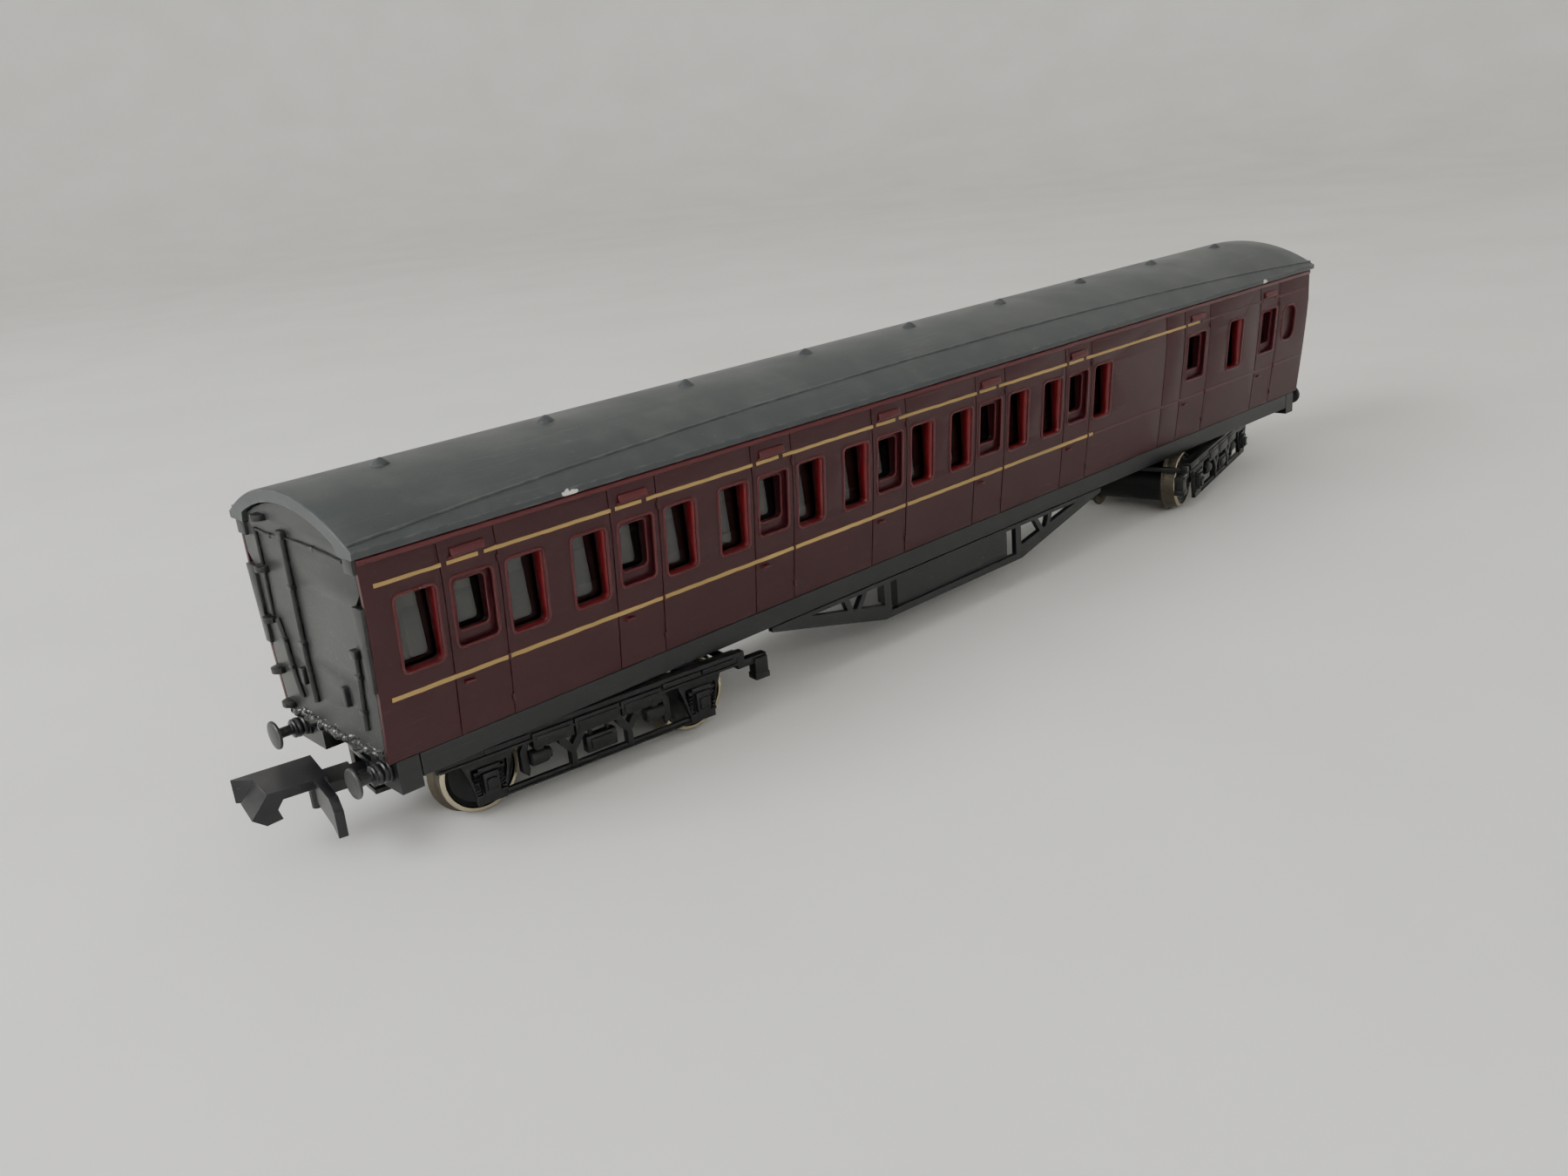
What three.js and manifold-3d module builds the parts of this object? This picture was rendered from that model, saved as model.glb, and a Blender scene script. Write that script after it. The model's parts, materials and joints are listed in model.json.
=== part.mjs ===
// A model railway coach: a two-bogie suburban brake coach for 9 mm gauge track.
// Millimetres. +X runs along the coach to the luggage end, +Y to its left side,
// +Z up. Z = 0 is the top of the rails, where the wheels stand.

import * as THREE from 'three';
import { mergeVertices } from 'three/addons/utils/BufferGeometryUtils.js';
import Module from 'manifold-3d';

const wasm = await Module();
wasm.setup();

// ---------------------------------------------------------------- sizes

// Body
const BODY_LENGTH = 117.4;
const BODY_HALF_WIDTH = 8.6;
const BODY_BOTTOM_Z = 7.7;
const WAIST_Z = 12.0;
const TUMBLEHOME_HEIGHT = 11.0;
const TUMBLEHOME_INSET = 1.15;
const TUMBLEHOME_POWER = 1.25;
const WALL = 1.4;
const FOOT_WALL = 0.6;
const EAVES_Z = 21.65;
const FIT_GAP = 0.08;

// Roof
const ROOF_OVERHANG_SIDE = 0.35;
const ROOF_OVERHANG_END = 0.35;
const ROOF_EDGE = 0.5;
const ROOF_RISE = 2.6;
const ROOF_THICKNESS = 0.9;
const VENTS = 9;
const VENT_RADIUS = 0.6;
const VENT_HEIGHT = 0.5;
const RAIN_STRIP_Y = 6.2;
const RAIN_STRIP_BOW = 2.2;

// Compartments, doors and windows. Heights are measured up from the waist.
const COMPARTMENTS = 6;
const COMPARTMENT_PITCH = 13.1;
const FIRST_DOOR = 7.34;
const DOOR_WIDTH = 4.1;
const WINDOW_WIDTH = 2.8;
const WINDOW_OFFSET = 4.0;
const WINDOW_BOTTOM = 1.5;
const WINDOW_TOP = 6.63;
const WINDOW_CORNER = 0.4;
const DROPLIGHT_WIDTH = 2.3;
const DROPLIGHT_BOTTOM = 2.8;
const DROPLIGHT_FRAME = 0.35;
const DROPLIGHT_STEP = 0.45;
const DROPLIGHT_SILL = 0.9;
const HOOD_WIDTH = 2.5;
const HOOD_HEIGHT = 0.6;
const HOOD_DEPTH = 0.33;
const HOOD_MIDDLE = 8.3;
const CANTRAIL = 0.4;
const VAN_DOOR_X = 34.95;
const VAN_DOOR_WIDTH = 4.9;
const VAN_WINDOW_X = 42.8;
const GUARD_DOOR_X = 49.8;
const BLIND_PANEL_X = 54.35;
const BLIND_PANEL_WIDTH = 2.8;
const BLIND_DEPTH = 0.35;

// Ends
const END_THICKNESS = 1.15;
const END_SKIN = 0.35;
const LUG_PROUD = 0.25;
const LUG_INSET = 0.1;
const STEP_REACH = 0.75;
const STEP_WIDTH = 1.2;

// Glazing and weight
const GLAZING_THICKNESS = 0.35;
const GLAZING_MARGIN = 1.2;
const WEIGHT_LENGTH = 72;
const WEIGHT_WIDTH = 11;
const WEIGHT_THICKNESS = 1.5;

// Underframe
const SOLEBAR_SETBACK = 2.2;
const SOLEBAR_STEP_OUT = 0.5;
const SOLEBAR_WIDTH = 0.65;
const SOLEBAR_BOTTOM_Z = 6.0;
const SOLEBAR_RELIEF = 0.25;
const FLOOR_THICKNESS = 1.2;
const FLOOR_BOTTOM_Z = 7.05;
const BEAM_THICKNESS = 1.6;
const BEAM_BOTTOM_Z = 5.3;
const BEAM_SETBACK = 0.5;
const COUPLER_CUTAWAY = 3.6;
const COUPLER_HEADROOM = 0.7;

// Trusses
const TRUSS_X = -3.25;
const TRUSS_HALF_LENGTH = 22.4;
const TRUSS_POST = 9.05;
const TRUSS_BOTTOM_Z = 2.4;
const TRUSS_BAR = 0.6;
const TRUSS_THICKNESS = 0.5;
const BATTERY_HALF_LENGTH = 7.6;
const BATTERY_DEPTH = 2.4;

// Buffers
const BUFFER_SPACING = 11.8;
const BUFFER_Z = 6.7;
const BUFFER_REACH = 2.6;
const BUFFER_HEAD_RADIUS = 1.05;
const BUFFER_SHANK_RADIUS = 0.42;
const BUFFER_HOUSING_RADIUS = 0.75;

// Bogies
const BOGIE_SETBACK = 17;
const BOGIE_WHEELBASE = 17.5;
const BOGIE_HALF_LENGTH = 12.4;
const BOGIE_FRAME_Y = 6.1;
const BOGIE_FRAME_THICKNESS = 0.8;
const BOGIE_RELIEF = 0.3;
const BOGIE_TOP_Z = 5.75;
const BEAM_DEPTH = 1.15;
const BOLSTER_HALF_LENGTH = 3.5;
const NEAR_BOGIE_YAW = -6.5;
const FAR_BOGIE_YAW = 14.5;
const PIVOT_RADIUS = 0.8;
const PIVOT_HEAD_RADIUS = 1.5;

// Wheels
const WHEEL_RADIUS = 2.95;
const FLANGE_RADIUS = 3.35;
const BACK_TO_BACK = 7.5;
const TYRE_WIDTH = 1.5;
const TYRE_THICKNESS = 0.34;
const DRUM_RADIUS = 2.4;
const AXLE_RADIUS = 0.42;
const AXLE_CONE = 0.6;
const AXLE_BEARING = 0.35;
const BEARING_GAP = 0.08;

// Couplers. Distances forward and across are from the head's front corner.
const COUPLER_PIVOT = 13.9;
const COUPLER_YAW = -3.5;
const COUPLER_REACH = 8.0;
const COUPLER_TOP_Z = 5.1;
const COUPLER_HEAD_WIDTH = 4.2;
const COUPLER_HEAD_LENGTH = 4.0;
const COUPLER_SKIN = 0.7;
const COUPLER_ARM_WIDTH = 2.66;
const COUPLER_ARM_DROP = 1.0;
const COUPLER_ARM_DEPTH = 0.8;
const COUPLER_PLATE_BACK = 3.06;
const COUPLER_PLATE_THICKNESS = 0.64;
const TAIL_HALF_WIDTH = 1.4;
const TAIL_NECK_HALF_WIDTH = 0.75;
const TAIL_THICKNESS = 0.7;
const POCKET_FRONT = 15.2;
const POCKET_WALL = 0.4;
const POCKET_GAP = 0.35;

// Sizes that follow from the ones above
const HALF_LENGTH = BODY_LENGTH / 2;
const SOLEBAR_HALF_LENGTH = HALF_LENGTH - SOLEBAR_SETBACK;
const BOGIE_PIVOT_X = HALF_LENGTH - BOGIE_SETBACK;
const ROOF_HALF_WIDTH = BODY_HALF_WIDTH + ROOF_OVERHANG_SIDE;
const ROOF_CREST_Z = EAVES_Z + ROOF_EDGE + ROOF_RISE;
const ROOF_RADIUS = (ROOF_HALF_WIDTH ** 2 + ROOF_RISE ** 2) / (2 * ROOF_RISE);
const ROOF_CENTRE_Z = ROOF_CREST_Z - ROOF_RADIUS;
const INNER_HALF_WIDTH = BODY_HALF_WIDTH - WALL;
const ARCH_HALF_WIDTH = INNER_HALF_WIDTH - 0.3;
const SIDE_TOP_Z = EAVES_Z - FIT_GAP;
const SIDE_FOOT_Y = BODY_HALF_WIDTH - TUMBLEHOME_INSET - FOOT_WALL;
const FLOOR_HALF_WIDTH = SIDE_FOOT_Y - FIT_GAP;
const SOLEBAR_Y = SIDE_FOOT_Y + SOLEBAR_STEP_OUT;
const FLOOR_TOP_Z = FLOOR_BOTTOM_Z + FLOOR_THICKNESS;
const FRAME_TOP_Z = BODY_BOTTOM_Z - FIT_GAP;
const BEAM_X = SOLEBAR_HALF_LENGTH + FIT_GAP;
const BEAM_FACE_X = BEAM_X + BEAM_THICKNESS;
const WINDOW_BOTTOM_Z = WAIST_Z + WINDOW_BOTTOM;
const WINDOW_TOP_Z = WAIST_Z + WINDOW_TOP;
const WHEEL_INNER_Y = BACK_TO_BACK / 2;
const WHEEL_OUTER_Y = WHEEL_INNER_Y + TYRE_WIDTH;
const WHEEL_SEAT_RADIUS = WHEEL_RADIUS - TYRE_THICKNESS - 0.04;
const AXLE_HALF_LENGTH = BOGIE_FRAME_Y + AXLE_BEARING;
const BOGIE_FRAME_OUTER_Y = BOGIE_FRAME_Y + BOGIE_FRAME_THICKNESS;
const BEAM_FOOT_Z = BOGIE_TOP_Z - BEAM_DEPTH;
const COUPLER_ARM_TOP_Z = COUPLER_TOP_Z - COUPLER_ARM_DROP;
const COUPLER_ARM_BOTTOM_Z = COUPLER_ARM_TOP_Z - COUPLER_ARM_DEPTH;
const POCKET_BACK = BOGIE_HALF_LENGTH + 0.1;
const POCKET_HALF_WIDTH = TAIL_HALF_WIDTH + POCKET_GAP;
const POCKET_TOP_Z = COUPLER_ARM_TOP_Z + 0.55;
const POCKET_BOTTOM_Z = COUPLER_ARM_BOTTOM_Z - 0.25;

// ---------------------------------------------------------------- colours

const finish = (color, roughness, metalness = 0) => (
  new THREE.MeshStandardMaterial({ color, roughness, metalness }));
const ROOF_GREY = finish(0x4b5050, 0.5);
const END_GREY = finish(0x5f615c, 0.5);
const MAROON = finish(0x4b282d, 0.4);
const CHASSIS_BLACK = finish(0x202426, 0.5);
const BOGIE_BLACK = finish(0x1c1e20, 0.55);
const COUPLER_BLACK = finish(0x2d2d34, 0.5);
const NICKEL = finish(0xaaa087, 0.3, 0.9);
const STEEL = finish(0x8c8c8c, 0.4, 0.9);
const CLEAR = finish(0x9aa0a0, 0.1);

// ---------------------------------------------------------------- solids

function signedVolume(positions, triangles) {
  let volume = 0;
  const [a, b, c] = [new THREE.Vector3(), new THREE.Vector3(), new THREE.Vector3()];
  for (let i = 0; i < triangles.length; i += 3) {
    a.fromArray(positions, triangles[i] * 3);
    b.fromArray(positions, triangles[i + 1] * 3);
    c.fromArray(positions, triangles[i + 2] * 3);
    volume += a.dot(b.cross(c));
  }
  return volume;
}

// A three.js geometry as a solid, with its faces turned outwards.
function toSolid(geometry) {
  geometry.deleteAttribute('normal');
  geometry.deleteAttribute('uv');
  const merged = mergeVertices(geometry, 1e-5);
  const positions = new Float32Array(merged.attributes.position.array);
  const triangles = [];
  const indices = merged.index.array;
  for (let i = 0; i < indices.length; i += 3) {
    const [a, b, c] = [indices[i], indices[i + 1], indices[i + 2]];
    if (a !== b && b !== c && c !== a) triangles.push(a, b, c);
  }
  if (signedVolume(positions, triangles) < 0) triangles.reverse();
  return new wasm.Manifold(new wasm.Mesh({
    numProp: 3,
    vertProperties: positions,
    triVerts: new Uint32Array(triangles),
  }));
}

function toGeometry(solid) {
  const mesh = solid.getMesh();
  const geometry = new THREE.BufferGeometry();
  geometry.setAttribute('position', new THREE.BufferAttribute(mesh.vertProperties, 3));
  geometry.setIndex(new THREE.BufferAttribute(mesh.triVerts, 1));
  return geometry;
}

const joined = (solids) => solids.reduce((sum, solid) => sum.add(solid));
const cutBy = (solid, cutters) => cutters.reduce((rest, cutter) => rest.subtract(cutter), solid);
const range = (count) => Array.from({ length: count }, (_, i) => i);
const ordered = (a, b) => [Math.min(a, b), Math.max(a, b)];

// A box between two corners, given in either order.
function box(xa, xb, ya, yb, za, zb) {
  const [[x0, x1], [y0, y1], [z0, z1]] = [ordered(xa, xb), ordered(ya, yb), ordered(za, zb)];
  const geometry = new THREE.BoxGeometry(x1 - x0, y1 - y0, z1 - z0);
  geometry.translate((x0 + x1) / 2, (y0 + y1) / 2, (z0 + z1) / 2);
  return toSolid(geometry);
}

// A box given for the left side, and its twin on the right side.
const boxPair = (x0, x1, y0, y1, z0, z1) => [
  box(x0, x1, y0, y1, z0, z1), box(x0, x1, -y1, -y0, z0, z1)];

const shapeOf = (points) => new THREE.Shape(points.map(([a, b]) => new THREE.Vector2(a, b)));

// A cross-section of (y, z) points pushed along X from x0 to x1.
function alongX(shape, x0, x1) {
  const geometry = new THREE.ExtrudeGeometry(shape, { depth: x1 - x0, bevelEnabled: false });
  geometry.rotateX(Math.PI / 2);
  geometry.rotateZ(Math.PI / 2);
  geometry.translate(x0, 0, 0);
  return toSolid(geometry);
}

// An outline of (x, z) points pushed along Y from y0 to y1.
function alongY(shape, y0, y1) {
  const geometry = new THREE.ExtrudeGeometry(shape,
    { depth: y1 - y0, bevelEnabled: false, curveSegments: 2 });
  geometry.rotateX(Math.PI / 2);
  geometry.translate(0, y1, 0);
  return toSolid(geometry);
}

// An outline of (x, y) points pushed up from z0 to z1.
function alongZ(shape, z0, z1) {
  const geometry = new THREE.ExtrudeGeometry(shape, { depth: z1 - z0, bevelEnabled: false });
  geometry.translate(0, 0, z0);
  return toSolid(geometry);
}

// A turned piece: (radius, distance) points about an axis through the origin.
function turned(points, sides, axis) {
  const profile = points.map(([r, h]) => new THREE.Vector2(r, h));
  const geometry = new THREE.LatheGeometry(profile, sides);
  if (axis === 'z') geometry.rotateX(Math.PI / 2);
  if (axis === 'x') geometry.rotateZ(-Math.PI / 2);
  return toSolid(geometry);
}

const rod = (radius, from, to, sides, axis) => (
  turned([[0, from], [radius, from], [radius, to], [0, to]], sides, axis));

// A round wire or pipe along a curve.
function wire(curve, radius, steps, sides = 6) {
  const section = range(sides).map((i) => {
    const angle = (2 * Math.PI * i) / sides;
    return [radius * Math.cos(angle), radius * Math.sin(angle)];
  });
  return toSolid(new THREE.ExtrudeGeometry(shapeOf(section),
    { steps, extrudePath: curve, bevelEnabled: false }));
}

const smoothCurve = (points) => (
  new THREE.CatmullRomCurve3(points.map((point) => new THREE.Vector3(...point))));

// A rectangle with round corners, as an (x, z) outline about a middle x.
function roundedRectangle(x, width, z0, z1, r) {
  const [x0, x1] = [x - width / 2, x + width / 2];
  const shape = new THREE.Shape();
  shape.moveTo(x0 + r, z0);
  shape.absarc(x1 - r, z0 + r, r, -Math.PI / 2, 0);
  shape.absarc(x1 - r, z1 - r, r, 0, Math.PI / 2);
  shape.absarc(x0 + r, z1 - r, r, Math.PI / 2, Math.PI);
  shape.absarc(x0 + r, z0 + r, r, Math.PI, 1.5 * Math.PI);
  return shape;
}

// ---------------------------------------------------------------- body lines

// Half width of the body's outer skin at height z, curving in from the window tops down.
function skinY(z, inset = 0) {
  const drop = Math.max(0, BODY_BOTTOM_Z + TUMBLEHOME_HEIGHT - z) / TUMBLEHOME_HEIGHT;
  return BODY_HALF_WIDTH - TUMBLEHOME_INSET * drop ** TUMBLEHOME_POWER - inset;
}

function skinHeights(bottom, top) {
  const steps = range(6).map((i) => BODY_BOTTOM_Z + (TUMBLEHOME_HEIGHT * i) / 5);
  return [bottom, ...steps.filter((z) => z > bottom && z < top), top];
}

// A band of the skin on the right side (-Y), between two depths, as (y, z) points.
function skinBand(bottom, top, outerInset, innerInset) {
  const heights = skinHeights(bottom, top);
  const outer = heights.map((z) => [-skinY(z, outerInset), z]);
  const inner = heights.map((z) => [-skinY(z, innerInset), z]).reverse();
  return shapeOf([...outer, ...inner]);
}

const doorX = (index) => -HALF_LENGTH + FIRST_DOOR + index * COMPARTMENT_PITCH;
const arcZ = (y, radius) => ROOF_CENTRE_Z + Math.sqrt(radius ** 2 - y ** 2);

const compartmentDoors = range(COMPARTMENTS).map((i) => ({ x: doorX(i), width: DOOR_WIDTH }));
const doors = [
  ...compartmentDoors,
  { x: VAN_DOOR_X, width: VAN_DOOR_WIDTH },
  { x: GUARD_DOOR_X, width: DOOR_WIDTH },
];
const windowXs = [
  ...compartmentDoors.flatMap(({ x }) => [x - WINDOW_OFFSET, x + WINDOW_OFFSET]),
  VAN_WINDOW_X,
];

// ---------------------------------------------------------------- sides

// A shallow recess in the right side's skin, following its slope.
function recessed(outline, depth) {
  const layer = alongX(skinBand(BODY_BOTTOM_Z, SIDE_TOP_Z, -1, depth), -HALF_LENGTH, HALF_LENGTH);
  return alongY(outline, -BODY_HALF_WIDTH - 1, -INNER_HALF_WIDTH).intersect(layer);
}

// A droplight steps inwards: the door's recess first, then the sash's own opening.
function droplightCuts({ x, width }) {
  const spare = width - DOOR_WIDTH;
  const glassWidth = DROPLIGHT_WIDTH + spare / 2;
  const opening = roundedRectangle(x, glassWidth, WAIST_Z + DROPLIGHT_BOTTOM,
    WINDOW_TOP_Z - DROPLIGHT_FRAME, WINDOW_CORNER);
  const recess = roundedRectangle(x, glassWidth + 2 * DROPLIGHT_FRAME,
    WAIST_Z + DROPLIGHT_BOTTOM - DROPLIGHT_SILL, WINDOW_TOP_Z, WINDOW_CORNER);
  return [
    alongY(opening, -BODY_HALF_WIDTH - 1, -INNER_HALF_WIDTH + 1),
    recessed(recess, DROPLIGHT_STEP),
  ];
}

function sideOpenings() {
  const windows = windowXs.map((x) => alongY(
    roundedRectangle(x, WINDOW_WIDTH, WINDOW_BOTTOM_Z, WINDOW_TOP_Z, WINDOW_CORNER),
    -BODY_HALF_WIDTH - 1, -INNER_HALF_WIDTH + 1));
  const blind = roundedRectangle(BLIND_PANEL_X, BLIND_PANEL_WIDTH,
    WINDOW_BOTTOM_Z + 1, WINDOW_TOP_Z - 0.3, BLIND_PANEL_WIDTH * 0.4);
  return [
    ...windows,
    ...doors.flatMap(droplightCuts),
    recessed(blind, BLIND_DEPTH),
  ];
}

// The ventilator hood over each door: a shallow bar with a sloping top.
function hoods() {
  const face = -BODY_HALF_WIDTH;
  const z = WAIST_Z + HOOD_MIDDLE;
  const section = shapeOf([[face + 0.2, z - HOOD_HEIGHT / 2], [face + 0.2, z + HOOD_HEIGHT / 2],
    [face - HOOD_DEPTH * 0.5, z + HOOD_HEIGHT / 2], [face - HOOD_DEPTH, z],
    [face - HOOD_DEPTH, z - HOOD_HEIGHT / 2]]);
  return doors.map(({ x }) => alongX(section, x - HOOD_WIDTH / 2, x + HOOD_WIDTH / 2));
}

// The ends of a side are thinned so that the end panel sits inside its skin. Lugs of
// full thickness are left, and they show through notches in the end panel.
const LUGS = [
  { from: WAIST_Z + 0.75, to: WAIST_Z + 6.45 },
  { from: WAIST_Z + 8.6, to: SIDE_TOP_Z },
];

function endRebates(sign) {
  const inner = sign * (HALF_LENGTH - END_THICKNESS - FIT_GAP);
  const [x0, x1] = ordered(inner, sign * (HALF_LENGTH + 1));
  return [[BODY_BOTTOM_Z - 1, LUGS[0].from], [LUGS[0].to, LUGS[1].from]].map(
    ([bottom, top]) => alongX(skinBand(bottom, top, END_SKIN, WALL + TUMBLEHOME_INSET + 1), x0, x1));
}

function lugBlocks(sign) {
  const [x0, x1] = ordered(sign * (HALF_LENGTH - END_THICKNESS), sign * (HALF_LENGTH + LUG_PROUD));
  return LUGS.map(({ from, to }) => {
    const face = skinHeights(from, to).map((z) => [-skinY(z, LUG_INSET), z]);
    return alongX(shapeOf([...face, [-INNER_HALF_WIDTH, to], [-INNER_HALF_WIDTH, from]]), x0, x1);
  });
}

function rightSide() {
  const skin = skinHeights(BODY_BOTTOM_Z, SIDE_TOP_Z).map((z) => [-skinY(z), z]);
  const section = shapeOf([...skin, [-INNER_HALF_WIDTH, SIDE_TOP_Z], [-INNER_HALF_WIDTH, WAIST_Z - 1],
    [-SIDE_FOOT_Y, WAIST_Z - 2.2], [-SIDE_FOOT_Y, BODY_BOTTOM_Z]]);
  const panel = alongX(section, -HALF_LENGTH, HALF_LENGTH);
  const cantrail = box(-HALF_LENGTH, HALF_LENGTH, -BODY_HALF_WIDTH - 0.14, -BODY_HALF_WIDTH + 0.3,
    SIDE_TOP_Z - CANTRAIL, SIDE_TOP_Z);
  const raised = joined([panel, cantrail, ...hoods()]);
  const cut = cutBy(raised, [...sideOpenings(), ...endRebates(-1), ...endRebates(1)]);
  return joined([cut, ...lugBlocks(-1), ...lugBlocks(1)]);
}

// ---------------------------------------------------------------- ends

function endOutline() {
  const edge = skinHeights(BODY_BOTTOM_Z, SIDE_TOP_Z).map((z) => [-skinY(z, END_SKIN + FIT_GAP), z]);
  const half = ARCH_HALF_WIDTH - FIT_GAP;
  const arch = range(11).map((i) => {
    const y = -half + (2 * half * i) / 10;
    return [y, arcZ(y, ROOF_RADIUS - ROOF_THICKNESS - FIT_GAP)];
  });
  const otherEdge = edge.map(([y, z]) => [-y, z]).reverse();
  return shapeOf([...edge, [-half, SIDE_TOP_Z], ...arch, [half, SIDE_TOP_Z], ...otherEdge]);
}

// Steps up the left edge of an end, given as (y, height above the waist).
function endSteps(sign, places) {
  const face = sign * HALF_LENGTH;
  const tip = face + sign * STEP_REACH;
  const shoulder = face + sign * STEP_REACH * 0.7;
  const half = STEP_WIDTH / 2;
  return places.map(([y, height]) => alongZ(
    shapeOf([[face - sign * 0.2, y - half], [face - sign * 0.2, y + half],
      [shoulder, y + half * 0.8], [tip, y], [shoulder, y - half * 0.8]]),
    WAIST_Z + height - 0.28, WAIST_Z + height + 0.22));
}

// A pipe lying on an end's face through (y, height above the waist) points.
function endPipe(sign, radius, places) {
  const x = sign * (HALF_LENGTH + radius * 0.6);
  return wire(smoothCurve(places.map(([y, height]) => [x, y, WAIST_Z + height])), radius, 6, 5);
}

const endBlock = (sign, proud, y0, y1, bottom, top) => box(
  sign * (HALF_LENGTH - 0.2), sign * (HALF_LENGTH + proud), y0, y1, WAIST_Z + bottom, WAIST_Z + top);

function compartmentEndDetails() {
  return [
    ...endSteps(-1, [[4.3, 10.4], [5.6, 6.6], [6.3, 2.8], [6.9, -1.1], [6.3, -3.5]]),
    endPipe(-1, 0.22, [[1.3, 9.7], [1.45, 6], [1.6, 2], [1.5, -2.2]]),
    endPipe(-1, 0.2, [[5.2, 3.0], [4.7, 1.6], [4.4, -0.3], [3.8, -2.5]]),
    endPipe(-1, 0.14, [[5.7, 9.4], [5.7, 6.5], [5.9, 3.1]]),
    endPipe(-1, 0.11, [[5.7, 9.3], [3.4, 9.2], [1.4, 9.4], [-3.0, 9.4], [-8.0, 9.2]]),
    endPipe(-1, 0.2, [[-6.3, 3.1], [-6.1, 1.5], [-5.7, -1.0], [-5.6, -2.3]]),
    endBlock(-1, 0.4, 0.9, 1.75, 9.3, 9.9),
    endBlock(-1, 0.45, 2.2, 2.7, -1.1, 0.1),
    endBlock(-1, 0.45, -6.7, -5.95, 2.8, 3.4),
    endBlock(-1, 0.35, -3.75, -3.2, -1.2, 0.15),
  ];
}

function luggageEndDetails() {
  return [
    ...endSteps(1, [[5.6, 6.6], [6.3, 2.8], [6.9, -1.1]]),
    endPipe(1, 0.22, [[-1.3, 9.7], [-1.45, 6], [-1.6, 2], [-1.5, -2.2]]),
    endBlock(1, 0.4, -1.75, -0.9, 9.3, 9.9),
    endBlock(1, 0.35, 3.2, 3.75, -1.2, 0.15),
  ];
}

function endPanel(sign, details) {
  const [x0, x1] = ordered(sign * HALF_LENGTH, sign * (HALF_LENGTH - END_THICKNESS));
  const notches = LUGS.flatMap(({ from, to }) => boxPair(x0 - 1, x1 + 1,
    INNER_HALF_WIDTH - FIT_GAP, BODY_HALF_WIDTH + 1, from - FIT_GAP, to + FIT_GAP));
  return cutBy(joined([alongX(endOutline(), x0, x1), ...details]), notches);
}

// ---------------------------------------------------------------- roof

function roofSection() {
  const outside = range(17).map((i) => {
    const y = ROOF_HALF_WIDTH * (-1 + i / 8);
    return [y, arcZ(y, ROOF_RADIUS)];
  });
  const inside = range(9).map((i) => {
    const y = ARCH_HALF_WIDTH * (1 - i / 4);
    return [y, arcZ(y, ROOF_RADIUS - ROOF_THICKNESS)];
  });
  return shapeOf([[-ROOF_HALF_WIDTH, EAVES_Z], ...outside, [ROOF_HALF_WIDTH, EAVES_Z],
    [ARCH_HALF_WIDTH, EAVES_Z], ...inside, [-ARCH_HALF_WIDTH, EAVES_Z]]);
}

// The bowed rain strip: nearest the gutter at each end, higher up in the middle.
function rainStrip(hand) {
  const reach = HALF_LENGTH + ROOF_OVERHANG_END - 0.05;
  const points = range(9).map((i) => {
    const x = reach * (-1 + i / 4);
    const y = hand * (RAIN_STRIP_Y + RAIN_STRIP_BOW * (x / reach) ** 2);
    return [x, y, arcZ(y, ROOF_RADIUS) + 0.02];
  });
  return wire(smoothCurve(points), 0.15, 12, 4);
}

function roof() {
  const reach = HALF_LENGTH + ROOF_OVERHANG_END;
  const profile = [[0, -0.3], [VENT_RADIUS, -0.3], [VENT_RADIUS, 0.1],
    [VENT_RADIUS * 0.8, VENT_HEIGHT * 0.7], [0, VENT_HEIGHT]];
  const vents = range(VENTS).map(
    (i) => turned(profile, 8, 'z').translate([doorX(i) - 0.5, 0, ROOF_CREST_Z - 0.03]));
  return joined([alongX(roofSection(), -reach, reach), ...vents, rainStrip(-1), rainStrip(1)]);
}

// ---------------------------------------------------------------- inside

function rightGlazing() {
  const x = HALF_LENGTH - END_THICKNESS - 0.6;
  const face = -INNER_HALF_WIDTH + 0.05;
  return box(-x, x, face, face + GLAZING_THICKNESS,
    WINDOW_BOTTOM_Z - GLAZING_MARGIN, WINDOW_TOP_Z + GLAZING_MARGIN);
}

function ballast() {
  const z = FLOOR_TOP_Z + FIT_GAP;
  return box(-WEIGHT_LENGTH / 2, WEIGHT_LENGTH / 2, -WEIGHT_WIDTH / 2, WEIGHT_WIDTH / 2,
    z, z + WEIGHT_THICKNESS);
}

// ---------------------------------------------------------------- underframe

function underframe() {
  const half = SOLEBAR_HALF_LENGTH;
  const inner = SOLEBAR_Y - SOLEBAR_WIDTH;
  const bossBottom = BOGIE_TOP_Z + 0.1;
  const solid = [
    box(-half, half, -FLOOR_HALF_WIDTH, FLOOR_HALF_WIDTH, FLOOR_BOTTOM_Z, FLOOR_TOP_Z),
    ...boxPair(-half, half, inner, SOLEBAR_Y, SOLEBAR_BOTTOM_Z, FRAME_TOP_Z),
  ];
  const cuts = [];
  for (const x of [-BOGIE_PIVOT_X, BOGIE_PIVOT_X]) {
    solid.push(rod(2.2, bossBottom, FLOOR_BOTTOM_Z + 0.2, 16, 'z').translate([x, 0, 0]));
    cuts.push(rod(PIVOT_RADIUS + BEARING_GAP, bossBottom - 1, FLOOR_TOP_Z + 1, 14, 'z')
      .translate([x, 0, 0]));
    cuts.push(...boxPair(x - 14, x + 14, inner - 1, inner + SOLEBAR_RELIEF,
      SOLEBAR_BOTTOM_Z - 1, FLOOR_BOTTOM_Z));
  }
  return cutBy(joined(solid), cuts);
}

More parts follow.
